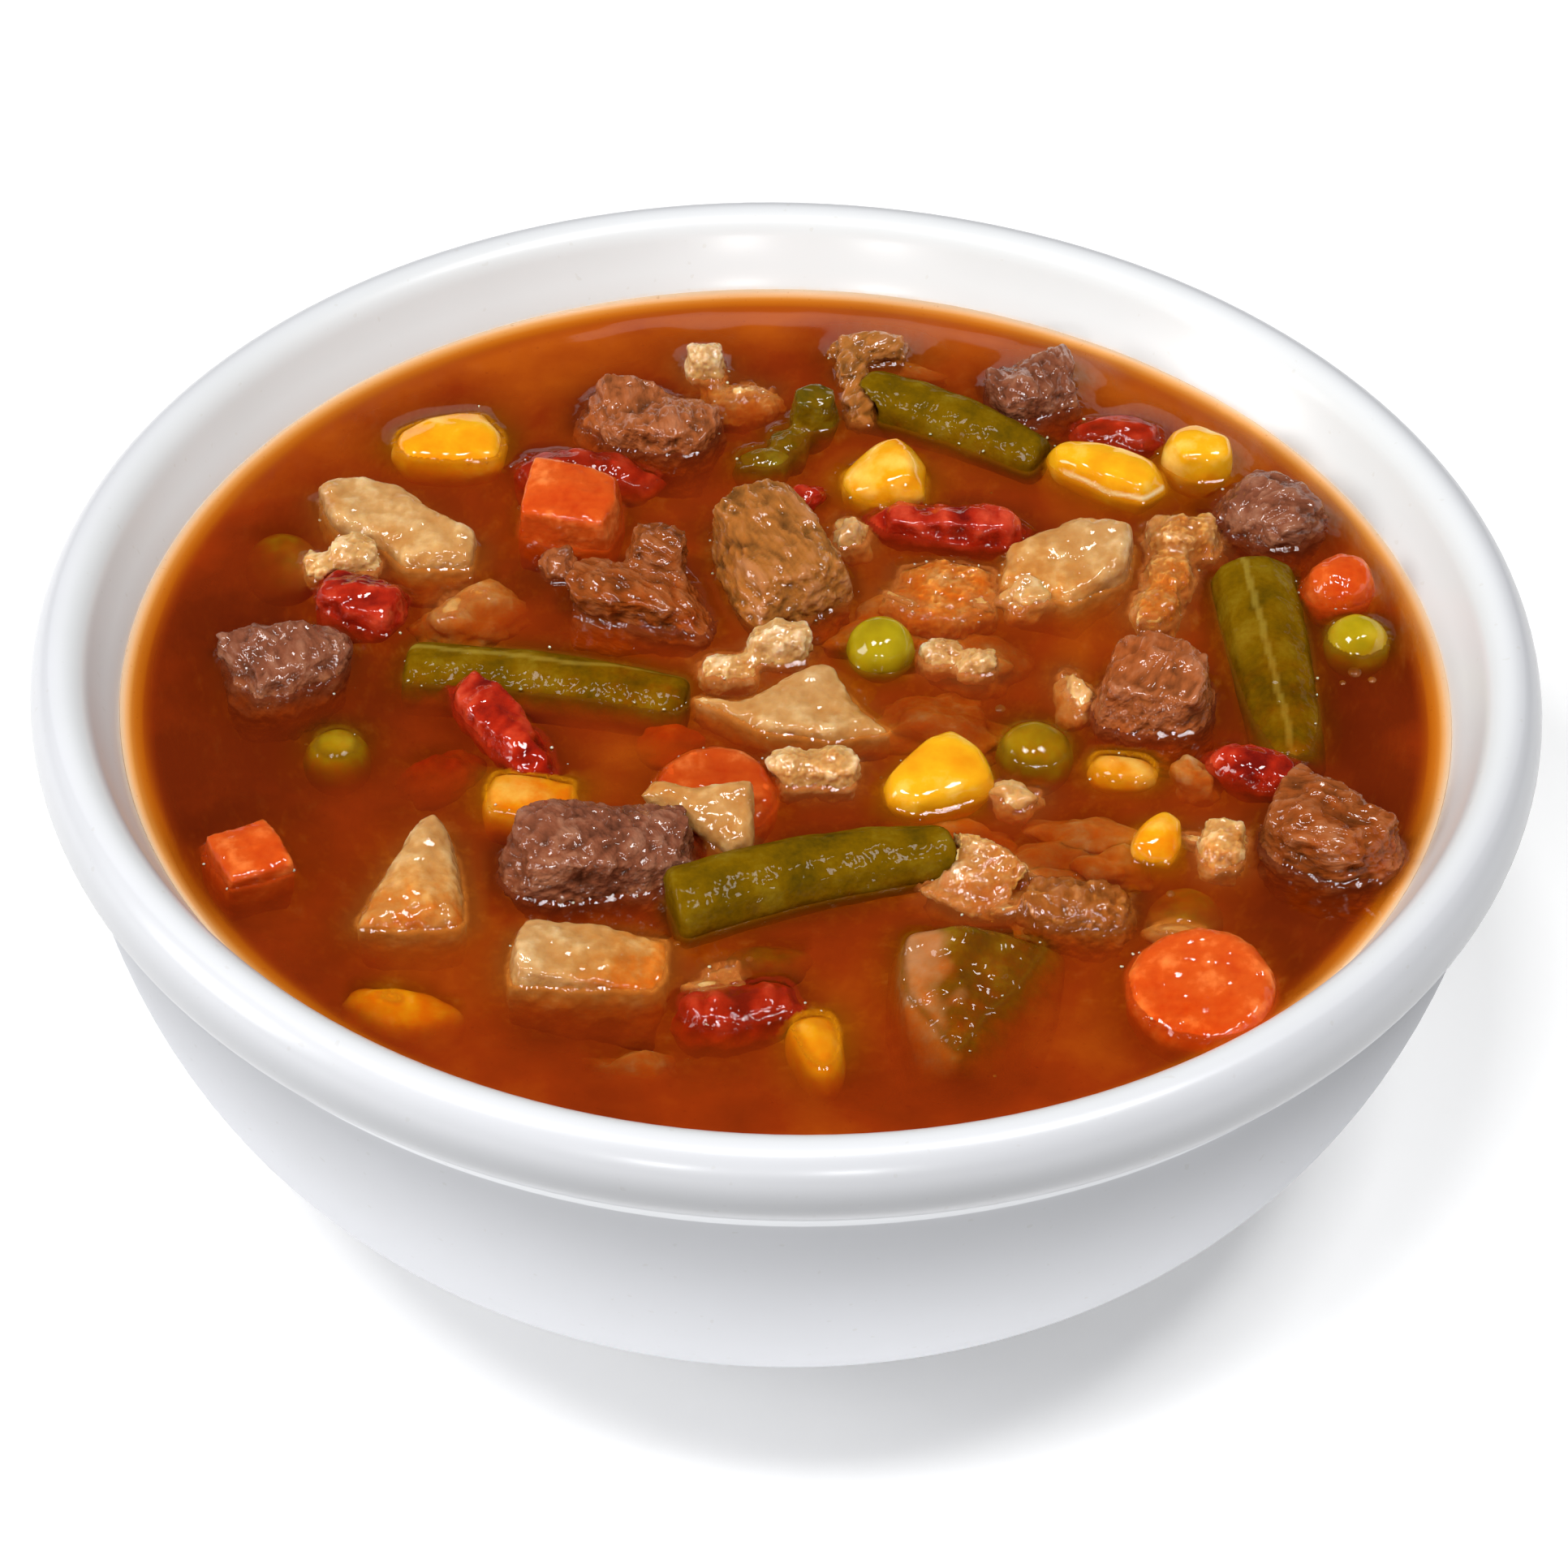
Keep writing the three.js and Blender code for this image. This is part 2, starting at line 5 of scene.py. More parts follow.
import bmesh
import bpy
from mathutils import Euler, Matrix, Vector, bvhtree, kdtree, noise


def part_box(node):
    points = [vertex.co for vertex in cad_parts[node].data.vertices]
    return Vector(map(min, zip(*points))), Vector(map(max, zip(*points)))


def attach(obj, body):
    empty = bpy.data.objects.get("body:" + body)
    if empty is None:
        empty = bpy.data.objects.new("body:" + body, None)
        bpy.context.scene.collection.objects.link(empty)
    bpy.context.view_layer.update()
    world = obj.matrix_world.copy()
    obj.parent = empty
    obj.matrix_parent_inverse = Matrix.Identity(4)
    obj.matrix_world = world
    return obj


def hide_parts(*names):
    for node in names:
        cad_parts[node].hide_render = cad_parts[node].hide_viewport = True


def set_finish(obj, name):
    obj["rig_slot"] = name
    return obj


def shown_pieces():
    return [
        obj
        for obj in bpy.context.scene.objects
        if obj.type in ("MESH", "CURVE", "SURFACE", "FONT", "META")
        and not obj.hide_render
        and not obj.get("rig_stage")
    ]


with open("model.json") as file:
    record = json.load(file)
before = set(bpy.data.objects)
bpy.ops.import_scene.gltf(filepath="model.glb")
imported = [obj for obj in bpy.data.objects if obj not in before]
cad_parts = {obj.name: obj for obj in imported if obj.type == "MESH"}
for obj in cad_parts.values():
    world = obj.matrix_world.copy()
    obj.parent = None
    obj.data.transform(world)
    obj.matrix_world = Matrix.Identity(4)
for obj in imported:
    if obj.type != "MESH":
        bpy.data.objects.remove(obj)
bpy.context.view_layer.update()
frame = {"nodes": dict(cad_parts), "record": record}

bl_info = {
    "name": "Bowl of Beef Soup",
    "version": (1, 0, 0),
    "blender": (4, 5, 0),
    "location": "3D View > Sidebar > Soup",
    "description": "A white stoneware bowl of beef and vegetable soup",
    "category": "Object",
}

MM = 0.001
BODY = "root"

# Sizes that come from the frame, in metres.
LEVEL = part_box("broth")[1].z
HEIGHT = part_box("bowl")[1].z
SLOT_OF = {part["node"]: part["material_slot"] for part in frame["record"]["subparts"]}

# The bowl's section in millimetres: the same values as its solid has.
RIM_RADIUS = 80.0
RIM_HALF_WIDTH = 3.4
RIM_HALF_HEIGHT = 4.8
BODY_RADIUS = 76.8
FOOT_RADIUS = 41.2
FOOT_INNER_RADIUS = 35.5
FOOT_HEIGHT = 3.0
FOOT_RECESS = 2.4
FLOOR_TOP = 8.5
WALL_INNER_RADIUS = 70.6
BELLY_POWER = 0.73
INSIDE = {"floor_radius": 25.0, "rise": 46.5}
OUTSIDE = {"floor_radius": 29.5, "rise": 54.2, "to_height": 50.3}
STEP_UNDER_RIM = (77.3, 51.3)
FLARE_OVER_WALL = (72.1, 55.4)

# The photograph's camera: it looks down on the bowl from the front, a little rolled.
CAMERA_PLACE = (0.0, -460.97 * MM, 445.07 * MM)
CAMERA_DOWN = 41.36
CAMERA_ROLL = 1.553
CAMERA_LENS = 130.2
SENSOR_WIDTH = 36.0


def linear(code):
    """A colour given as sRGB hex, as linear numbers."""
    values = [int(code[i:i + 2], 16) / 255 for i in (1, 3, 5)]
    return [v / 12.92 if v <= 0.04045 else ((v + 0.055) / 1.055) ** 2.4 for v in values]


def colour(name, description, code):
    """A colour that the panel shows."""
    return bpy.props.FloatVectorProperty(
        name=name, description=description, subtype="COLOR", size=3, min=0, max=1, default=linear(code)
    )


def length(name, description, millimetres):
    """A length that the panel shows."""
    return bpy.props.FloatProperty(
        name=name, description=description, unit="LENGTH", min=0, precision=5, default=millimetres * MM
    )


class SoupSizes(bpy.types.PropertyGroup):
    """Sizes of the surface detail."""

    net: length("Net", "Size of the small faces that the pieces are made of", 0.36)
    meniscus_rise: length("Meniscus rise", "How far the broth climbs up what stands in it", 0.9)
    meniscus_reach: length("Meniscus reach", "How far from a piece the broth starts to climb", 1.25)
    beef_relief: length("Beef relief", "Depth of the cracks between the fibres of the beef", 0.9)
    vegetable_relief: length("Vegetable relief", "Depth of the unevenness of the vegetables", 0.35)
    into_wall: length("Into wall", "How far the broth reaches into the bowl's wall", 0.2)


class SoupColours(bpy.types.PropertyGroup):
    """Colours of the bowl and the food."""

    # The glaze outside is painted greyer and the glaze inside lighter: one glaze in painted shade and in
    # painted light.
    glaze: colour("Glaze", "Glazed stoneware outside", "#CFD0D4")
    glaze_painted_lit_inside: colour("Glaze inside", "Glazed stoneware inside the rim", "#DDDFDF")
    broth: colour("Broth", "Broth at its surface", "#8E2D02")
    broth_dark: colour("Dark broth", "Broth at its darkest, left and right", "#681E00")
    broth_bright: colour("Bright broth", "Broth at its brightest, where vegetables lie under it", "#AE4E06")
    # The pale ring at the wall is partly thin broth over the white glaze and partly painted glow of light
    # scattered from the wall.
    broth_edge_glow: colour("Broth edge", "Thin broth against the bowl's wall", "#E8C8A4")
    murk: colour("Murk", "What deep broth turns everything into", "#A84404")
    beef: colour("Beef", "Cooked beef", "#7C4630")
    soaked_beef: colour("Soaked beef", "Cooked beef under a film of broth", "#8C4C24")
    red_beef: colour("Red beef", "Cooked beef that the broth has coloured", "#9A542C")
    stewed: colour("Stewed beef", "Stewed, golden beef", "#A2642A")
    potato: colour("Potato", "Boiled potato", "#BA8C56")
    carrot: colour("Carrot", "Boiled carrot", "#CA5218")
    corn: colour("Corn", "Sweetcorn skin", "#E8A816")
    pea: colour("Pea", "Pea skin", "#A6900E")
    bean: colour("Green bean", "Cooked green bean", "#6E5002")
    bean_seam: colour("Bean seam", "The paler seam along a pod", "#A4903C")
    pepper_flesh: colour("Pepper flesh", "The pale flesh of cooked pepper", "#B88860")
    tomato: colour("Tomato", "Tomato pulp and skin", "#A2220E")
    onion: colour("Onion", "Translucent cooked onion", "#C89E68")
    floor: colour("Floor", "The pale floor", "#FCFCFC")


def sizes():
    """The sizes set in the panel."""
    return bpy.context.scene.soup_sizes


def colours():
    """The colours set in the panel."""
    return bpy.context.scene.soup_colours


def mixed(first, second, share):
    """A colour between two others."""
    return [a + (b - a) * share for a, b in zip(first, second)]


# Materials

def new_material(name):
    """An empty material and its node tree."""
    material = bpy.data.materials.new(name)
    material.use_nodes = True
    material.node_tree.nodes.clear()
    return material, material.node_tree


def add(tree, kind, inputs=None, **settings):
    """Adds a node, with its settings, and with a value or a link for each input that is given."""
    node = tree.nodes.new(kind)
    for name, value in settings.items():
        setattr(node, name, value)
    for name, value in (inputs or {}).items():
        if isinstance(value, bpy.types.NodeSocket):
            tree.links.new(value, node.inputs[name])
        else:
            node.inputs[name].default_value = value
    return node


def ramp(tree, factor, stops):
    """A ramp through the colours given as (place from 0 to 1, linear colour)."""
    node = add(tree, "ShaderNodeValToRGB", {"Fac": factor})
    elements = node.color_ramp.elements
    while len(elements) < len(stops):
        elements.new(0.5)
    for element, (place, tone) in zip(elements, stops):
        element.position = place
        element.color = (*tone, 1)
    return node.outputs["Color"]


def grain_of(tree, size_mm, detail=2.0, stretch=(1, 1, 1), turn=(0, 0, 0), roughness=0.5, shift=0.0):
    """A noise pattern whose grains are size_mm across, stretched along its own axes."""
    place = add(tree, "ShaderNodeTexCoord").outputs["Object"]
    cell = [size_mm * MM * s for s in stretch]
    turned = add(tree, "ShaderNodeMapping", {
        "Vector": place,
        "Location": [shift * side for side in cell],
        "Rotation": turn,
        "Scale": cell,
    }, vector_type="TEXTURE")
    return add(tree, "ShaderNodeTexNoise", {
        "Vector": turned.outputs["Vector"], "Scale": 1.0, "Detail": detail, "Roughness": roughness,
    }).outputs["Fac"]


# The depth in millimetres at which nothing shows through the broth any more.
SUNK_SPAN = 10.0

# A face counts as sunk when all of it is this far below the level, in millimetres.
SUNK_BY = 0.05

# A film of broth climbs this far up the sides of a piece, in millimetres.
FILM_CLIMB = 3.0

# What the broth leaves of a colour, and the broth's own colour over it as a share of the murk, at a
# depth in millimetres below the top of the film. Red passes furthest and blue is gone first.
PASSED = [
    (0.0, (1.0, 1.0, 1.0)),
    (1.0, (1.0, 0.96, 0.88)),
    (2.0, (1.0, 0.86, 0.64)),
    (3.0, (1.0, 0.7, 0.36)),
    (3.8, (0.96, 0.52, 0.16)),
    (5.3, (0.86, 0.34, 0.04)),
    (7.8, (0.5, 0.14, 0.0)),
    (10.0, (0.2, 0.04, 0.0)),
]
VEILED = [(0.0, 0.0), (3.0, 0.0), (3.8, 0.08), (5.3, 0.35), (7.8, 0.7), (10.0, 0.85)]


def seen_through_broth(tree, tone):
    """The colour as it looks at the depth that the mesh keeps in its sunk attribute."""
    depth = add(tree, "ShaderNodeAttribute", attribute_name="sunk").outputs["Fac"]
    ripple = grain_of(tree, 2.2, detail=3, roughness=0.6)
    uneven = add(tree, "ShaderNodeMath", {0: ripple, 1: 1.8, 2: 0.1}, operation="MULTIPLY_ADD").outputs[0]
    deep = add(tree, "ShaderNodeMath", {0: uneven, 1: depth}, operation="MULTIPLY", use_clamp=True).outputs[0]
    passed = ramp(tree, deep, [(mm / SUNK_SPAN, tone_left) for mm, tone_left in PASSED])
    murk = list(colours().murk)
    veil = ramp(tree, deep, [(mm / SUNK_SPAN, [c * part for c in murk]) for mm, part in VEILED])
    left = add(tree, "ShaderNodeMix", {0: 1.0, 6: tone, 7: passed}, data_type="RGBA", blend_type="MULTIPLY")
    return add(
        tree, "ShaderNodeMix", {0: 1.0, 6: left.outputs[2], 7: veil}, data_type="RGBA", blend_type="ADD"
    ).outputs[2]


def food_material(name, tones, grain, bump, **look):
    """The two finishes of a food: wet with a film of broth above the level, and dull when sunk."""
    dull = {**look, "film": 0.0}
    return [
        food_finish(name, tones, grain, bump, **look), food_finish(name + "_sunk", tones, grain, bump, **dull)
    ]


def food_finish(
    name, tones, grain, bump, film=0.8, wet=0.06, skin=2.5, speckle=0.6, blotch=0.3, glow=0.0,
    fibre=None, mark=None,
):
    """Food: tones from painted shade in the hollows to painted light on the ridges, mixed with random grain;
    grain and bump in millimetres, and tinted by the broth where sunk.

    film and wet are the broth's gloss over it, and skin how uneven that gloss is.
    """
    dark, base, light = tones
    material, tree = new_material(name)
    along = {"stretch": (1, 1, fibre["length"]), "turn": fibre["turn"]} if fibre else {}
    height = add(tree, "ShaderNodeAttribute", attribute_name="relief").outputs["Fac"]
    fine = grain_of(tree, grain, detail=4, roughness=0.62, **along)
    broad = grain_of(tree, grain * 5, detail=2, shift=3.1, **along)
    factor = -0.2 - 0.5 * (speckle + blotch)
    for pattern, share in ((fine, speckle), (broad, blotch)):
        step = add(tree, "ShaderNodeMath", {0: pattern, 1: share, 2: factor}, operation="MULTIPLY_ADD")
        factor = step.outputs[0]
    # Painted shade and light: the relief height darkens the hollows and lightens the ridges.
    factor = add(tree, "ShaderNodeMath", {0: factor, 1: height}, operation="ADD").outputs[0]
    tone = ramp(tree, factor, [(0.0, dark), (0.5, base), (1.0, light)])
    if mark:
        marked = add(tree, "ShaderNodeAttribute", attribute_name="mark").outputs["Fac"]
        blend = {0: marked, 6: tone, 7: (*mark, 1)}
        tone = add(tree, "ShaderNodeMix", blend, data_type="RGBA", blend_type="MIX").outputs[2]
    bumps = grain_of(tree, grain, detail=1.5, shift=7.7, **along)
    normal = add(tree, "ShaderNodeBump", {"Height": bumps, "Strength": 1.0, "Distance": bump * MM})
    swells = grain_of(tree, 2.2 * grain, detail=1, shift=5.3, **along)
    swelling = 2.2 * skin * bump * MM
    wet_skin = add(tree, "ShaderNodeBump", {"Height": swells, "Strength": 1.0, "Distance": swelling})
    shader = add(tree, "ShaderNodeBsdfPrincipled", {
        "Base Color": seen_through_broth(tree, tone),
        "Roughness": 0.7,
        "Specular IOR Level": 0.0,
        "Coat Weight": film,
        "Coat Roughness": wet,
        "Coat IOR": 1.5,
        "Subsurface Weight": glow,
        "Subsurface Radius": (1.0, 0.45, 0.2),
        "Subsurface Scale": 1.6 * MM,
        "Normal": normal.outputs["Normal"],
        "Coat Normal": wet_skin.outputs["Normal"],
    })
    add(tree, "ShaderNodeOutputMaterial", {"Surface": shader.outputs["BSDF"]})
    return material


def glazed_stoneware(name, gloss):
    """White stoneware under clear glaze: glossy, with a faint orange-peel in the gloss, painted shade outside
    under the rim and below the step, and painted light on the glaze inside.
    """
    material, tree = new_material(name)
    palette = colours()
    cloud = grain_of(tree, 22.0, detail=3)
    # Painted light and shade: below 0.5 the glaze is painted down to half its colour as shade under the rim
    # and below the step, and above 0.5 it is painted lighter inside the rim.
    indoors = add(tree, "ShaderNodeAttribute", attribute_name="indoors").outputs["Fac"]
    painted_under_shade = [c * 0.5 for c in palette.glaze]
    side = ramp(tree, indoors, [(0.0, painted_under_shade), (0.5, palette.glaze), (1.0, palette.glaze_painted_lit_inside)])
    shade = ramp(tree, cloud, [(0.3, (0.97, 0.97, 0.965)), (0.7, (1, 1, 1))])
    tone = add(tree, "ShaderNodeMix", {0: 1.0, 6: side, 7: shade}, data_type="RGBA", blend_type="MULTIPLY")
    speck = grain_of(tree, 0.9, detail=0, shift=2.0)
    speckled = ramp(tree, speck, [(0.0, (0.9, 0.86, 0.8)), (0.16, (0.9, 0.88, 0.84)), (0.2, (1, 1, 1))])
    fired = add(tree, "ShaderNodeMix", {
        0: 0.5, 6: tone.outputs[2], 7: speckled,
    }, data_type="RGBA", blend_type="MULTIPLY")
    stained = add(tree, "ShaderNodeMix", {
        0: wall_stain(tree), 6: fired.outputs[2], 7: (*linear("#F0B05A"), 1),
    }, data_type="RGBA", blend_type="MIX")
    tinted = seen_through_broth(tree, stained.outputs[2])
    peel = grain_of(tree, 5.0, detail=2)
    normal = add(tree, "ShaderNodeBump", {"Height": peel, "Strength": 0.3, "Distance": 0.05 * MM})
    shader = add(tree, "ShaderNodeBsdfPrincipled", {
        "Base Color": tinted,
        "Roughness": 0.9 - 0.58 * gloss,
        "IOR": 1.5,
        "Specular IOR Level": 0.5 * gloss,
        "Coat Weight": 0.25 * gloss,
        "Coat Roughness": 0.16,
        "Normal": normal.outputs["Normal"],
    })
    add(tree, "ShaderNodeOutputMaterial", {"Surface": shader.outputs["BSDF"]})
    return material


def wall_stain(tree):
    """How much the film of broth left on the wall above the level colours the glaze."""
    film = add(tree, "ShaderNodeAttribute", attribute_name="film").outputs["Fac"]
    patches = grain_of(tree, 1.4, detail=3, shift=5.0)
    torn = add(tree, "ShaderNodeMath", {0: patches, 1: 1.4, 2: -0.25}, operation="MULTIPLY_ADD")
    stain = add(tree, "ShaderNodeMath", {0: film, 1: torn.outputs[0]}, operation="MULTIPLY", use_clamp=True)
    return stain.outputs[0]


def broth_surface():
    """Thin meat broth with tomato: clear at its skin, cloudy below, and thin and golden at the wall, where
    the pale ring is also painted glow of light scattered from the wall.
    """
    material, tree = new_material("tomato_beef_broth")
    palette = colours()
    edge = add(tree, "ShaderNodeAttribute", attribute_name="edge").outputs["Fac"]
    shade = add(tree, "ShaderNodeAttribute", attribute_name="shade").outputs["Fac"]
    veil = add(tree, "ShaderNodeAttribute", attribute_name="veil").outputs["Fac"]
    cloud = grain_of(tree, 5.0, detail=4, roughness=0.6)
    clouded = add(tree, "ShaderNodeMath", {0: cloud, 1: 0.5, 2: -0.25}, operation="MULTIPLY_ADD").outputs[0]
    swirl = add(tree, "ShaderNodeMath", {0: clouded, 1: shade}, operation="ADD").outputs[0]
    open_broth = ramp(tree, swirl, [
        (0.0, palette.broth_dark), (0.5, palette.broth), (1.0, palette.broth_bright),
    ])
    # The ring is partly thin broth over the white glaze and partly painted glow of light scattered from the
    # wall.
    thinner = [(0.12, "#A04603"), (0.19, "#AE5705"), (0.29, "#BC6612"), (0.43, "#CE8436"), (0.66, "#E0A468")]
    wall_ring_glow = ramp(tree, edge, [
        (0.05, palette.broth), *[(place, linear(code)) for place, code in thinner], (1.0, palette.broth_edge_glow),
    ])
    near = ramp(tree, edge, [(0.04, (0, 0, 0)), (0.16, (1, 1, 1))])
    tone = add(tree, "ShaderNodeMix", {0: near, 6: open_broth, 7: wall_ring_glow}, data_type="RGBA", blend_type="MIX")
    near_food = add(tree, "ShaderNodeAttribute", attribute_name="near")
    thin = add(tree, "ShaderNodeMix", {
        0: near_food.outputs["Alpha"], 6: tone.outputs[2], 7: near_food.outputs["Color"],
    }, data_type="RGBA", blend_type="MIX")
    dust = grain_of(tree, 0.5, detail=1, shift=1.3)
    dusty = ramp(tree, dust, [(0.0, (0.5, 0.35, 0.2)), (0.24, (0.85, 0.75, 0.6)), (0.3, (1, 1, 1))])
    specked = add(
        tree, "ShaderNodeMix", {0: 0.6, 6: thin.outputs[2], 7: dusty}, data_type="RGBA", blend_type="MULTIPLY"
    )
    shader = add(tree, "ShaderNodeBsdfPrincipled", {
        "Base Color": specked.outputs[2],
        "Roughness": 0.04,
        "IOR": 1.38,
        "Specular IOR Level": 0.8,
        "Alpha": veil,
    })
    add(tree, "ShaderNodeOutputMaterial", {"Surface": shader.outputs["BSDF"]})
    return material


def fat_droplet():
    """Beads of clear beef fat on the broth: smooth domes that catch the light."""
    material, tree = new_material("beef_fat")
    cloud = grain_of(tree, 1.0, detail=2)
    tone = ramp(tree, cloud, [(0.3, linear("#7E3E08")), (0.7, linear("#B86614"))])
    shader = add(tree, "ShaderNodeBsdfPrincipled", {
        "Base Color": tone, "Roughness": 0.03, "IOR": 1.47, "Specular IOR Level": 1.0, "Alpha": 0.45,
    })
    add(tree, "ShaderNodeOutputMaterial", {"Surface": shader.outputs["BSDF"]})
    return material


def spice_speck():
    """Ground pepper and herb: dark dry specks."""
    material, tree = new_material("ground_pepper")
    cloud = grain_of(tree, 0.4, detail=1)
    tone = ramp(tree, cloud, [(0.35, linear("#6A3408")), (0.65, linear("#B36A20"))])
    shader = add(tree, "ShaderNodeBsdfPrincipled", {"Base Color": tone, "Roughness": 0.6})
    add(tree, "ShaderNodeOutputMaterial", {"Surface": shader.outputs["BSDF"]})
    return material


# Shapes

def put_in_order(mesh):
    """Sorts corners and faces by place, because the mesh tools can give them in another order each run."""
    across = Vector((1.0, 7.31, 53.97))
    mesh.verts.sort(key=lambda vert: vert.co.dot(across))
    mesh.verts.index_update()
    mesh.faces.sort(key=lambda face: face.calc_center_median().dot(across))
    mesh.faces.index_update()


def finished(mesh, name, materials, node=None, slot=None):
    """Turns a bmesh into a piece that rides with the bowl. The second material is for what is sunk."""
    if len(materials) > 1:
        for face in mesh.faces:
            face.material_index = int(all(vert.co.z < LEVEL - SUNK_BY * MM for vert in face.verts))
    put_in_order(mesh)
    data = bpy.data.meshes.new(name)
    mesh.to_mesh(data)
    mesh.free()
    data.shade_smooth()
    for material in materials:
        data.materials.append(material)
    piece = bpy.data.objects.new(name, data)
    bpy.context.scene.collection.objects.link(piece)
    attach(piece, BODY)
    if node:
        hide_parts(node)
    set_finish(piece, slot or SLOT_OF[node])
    return piece


def merged_copy(node):
    """A copy of a solid's mesh with its loose triangles joined."""
    mesh = bmesh.new()
    mesh.from_mesh(frame["nodes"][node].data)
    bmesh.ops.remove_doubles(mesh, verts=mesh.verts, dist=0.002 * MM)
    return mesh


def even_net(mesh, cell):
    """The same closed shape as an even net of small faces."""
    data = bpy.data.meshes.new("net")
    mesh.to_mesh(data)
    mesh.free()
    work = bpy.data.objects.new("net", data)
    bpy.context.scene.collection.objects.link(work)
    remesh = work.modifiers.new("Net", "REMESH")
    remesh.mode = "VOXEL"
    remesh.voxel_size = cell
    netted = bpy.data.meshes.new_from_object(work.evaluated_get(bpy.context.evaluated_depsgraph_get()))
    bpy.data.objects.remove(work)
    bpy.data.meshes.remove(data)
    out = bmesh.new()
    out.from_mesh(netted)
    bpy.data.meshes.remove(netted)
    return out


def box_of(mesh):
    """Lowest and highest corner of a bmesh."""
    places = [v.co for v in mesh.verts]
    low = Vector([min(p[i] for p in places) for i in range(3)])
    high = Vector([max(p[i] for p in places) for i in range(3)])
    return low, high


def rounded(mesh, passes, low, high):
    """Softens the edges and keeps the box."""
    for _ in range(passes):
        bmesh.ops.smooth_vert(
            mesh, verts=mesh.verts, factor=0.5, use_axis_x=True, use_axis_y=True, use_axis_z=True
        )
    now_low, now_high = box_of(mesh)
    middle, now_middle = (low + high) / 2, (now_low + now_high) / 2
    reach, now_reach = high - low, now_high - now_low
    for vert in mesh.verts:
        away = vert.co - now_middle
        vert.co = middle + Vector([away[i] * reach[i] / now_reach[i] for i in range(3)])


# The height of the relief at which the surface stays where the solid's is.
UNMOVED = 0.8


def with_relief(mesh, relief, depth):
    """Moves the surface in and out by relief, from 0 to 1, and keeps it for the colours."""
    mesh.normal_update()
    kept = mesh.verts.layers.float.new("relief")
    moves = []
    for vert in mesh.verts:
        height = min(1.0, max(0.0, relief(vert.co / MM)))
        vert[kept] = height
        moves.append(vert.normal * (height - UNMOVED) * depth)
    for vert, move in zip(mesh.verts, moves):
        vert.co += move


# Pieces whose tops lie under a film of broth: how thick it is in millimetres, and how much thicker it
# gets towards the right and the back of the piece.
WASHED = {
    "beef_1": (0.4, -0.4, -0.8), "beef_2": (0.2, 0.6, -0.6), "beef_3": (2.4, 0.4, -0.6),
    "beef_4": (0.2, -0.4, -1.0), "beef_5": (1.4, -0.8, 0.6), "beef_6": (0.6, 0.0, -0.6),
    "beef_7": (0.2, -0.4, -0.8), "beef_8": (2.2, 0.2, -0.4), "beef_9": (0.6, -0.8, -0.4),
    "stewed_shred": (1.8, 0.6, 0.0),
    "carrot_dice_1": (0.4, 0.0, -0.6), "carrot_dice_2": (1.2, 0.6, -0.8), "carrot_dice_3": (1.4, 0.8, -0.4),
    "carrot_dice_4": (3.2, 0.8, -0.6), "carrot_slice_1": (0.6, 0.8, -0.8),
    "carrot_slice_2": (1.0, -0.6, -0.8),
    "potato_1": (1.0, -0.4, -1.0), "potato_2": (1.6, 0.2, -2.2), "potato_3": (1.9, 2.4, -0.6),
    "potato_4": (1.8, -0.4, -0.4), "potato_5": (0.0, -0.8, -0.6), "potato_6": (4.2, -0.4, -0.4),
    "potato_7": (1.4, -1.2, -1.4),
    "corn_hull": (2.4, 0.0, -0.6), "corn_kernel_1": (1.4, 0.0, -1.0), "corn_kernel_2": (2.0, 0.0, 0.0),
    "corn_kernel_6": (2.6, 0.4, 0.4), "corn_kernel_7": (1.8, 0.2, -1.2),
    "pea_3": (2.4, 0.0, -0.8),
    "green_bean_1": (1.8, 0.8, -0.6), "green_bean_2": (0.6, 0.4, 0.0), "green_bean_4": (1.8, 0.2, -1.2),
    "pepper_chunk": (3.4, 0.8, -1.4),
    "tomato_1": (1.0, -0.6, 0.4), "tomato_3": (1.4, 0.4, -0.6), "tomato_5": (1.6, 0.0, 0.6),
    "cabbage_1": (3.2, 0.3, -1.0), "cabbage_2": (0.8, -0.4, -0.6), "cabbage_3": (1.4, 0.4, -0.8),
    "onion_1": (0.4, 0.4, -0.4), "onion_2": (1.6, -0.4, -0.4), "onion_3": (2.4, 0.8, -0.6),
    "onion_4": (0.8, 0.4, -0.4), "onion_5": (2.2, 0.0, -0.8),
}


def with_sunk(mesh, washed=(0.0, 0.0, 0.0)):
    """Keeps for the colours how deep each point lies in the broth or its film, from 0 to 1."""
    kept = mesh.verts.layers.float.new("sunk")
    low, high = box_of(mesh)
    middle, half = (low + high) / 2, (high - low) / 2
    film, right, back = washed
    for vert in mesh.verts:
        away = vert.co - middle
        wash = film + right * away.x / half.x + back * away.y / half.y
        vert[kept] = min(1.0, max(wash, LEVEL / MM + FILM_CLIMB - vert.co.z / MM, 0.0) / SUNK_SPAN)


def shaped(node, relief, depth, passes):
    """A piece of food in its solid's place: an even net, softened, with its relief."""
    low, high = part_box(node)
    mesh = even_net(merged_copy(node), sizes().net)
    rounded(mesh, passes, low, high)
    with_relief(mesh, relief, depth)
    with_sunk(mesh, WASHED.get(node, (0.0, 0.0, 0.0)))
    bmesh.ops.recalc_face_normals(mesh, faces=mesh.faces)
    return mesh


def cracks(value, width):
    """Noise turned into narrow cracks: 0 in a crack and 1 between them."""
    share = min(1.0, abs(value) / width)
    return share * (2 - share)


def along_fibres(turn, grain, stretch):
    """Turns a point in millimetres into fibre cells: grain across and stretch times that along."""
    inverse = Euler(turn).to_matrix().inverted()
    scale = Matrix.Diagonal((1 / grain, 1 / grain, 1 / (grain * stretch)))
    return scale @ inverse


def drift(point):
    """Three noises at a point, as a direction to move it in."""
    apart = Vector((19.3, 0, 0)), Vector((0, 27.1, 0)), Vector((0, 0, 35.9))
    return Vector([noise.noise(point + away) for away in apart])


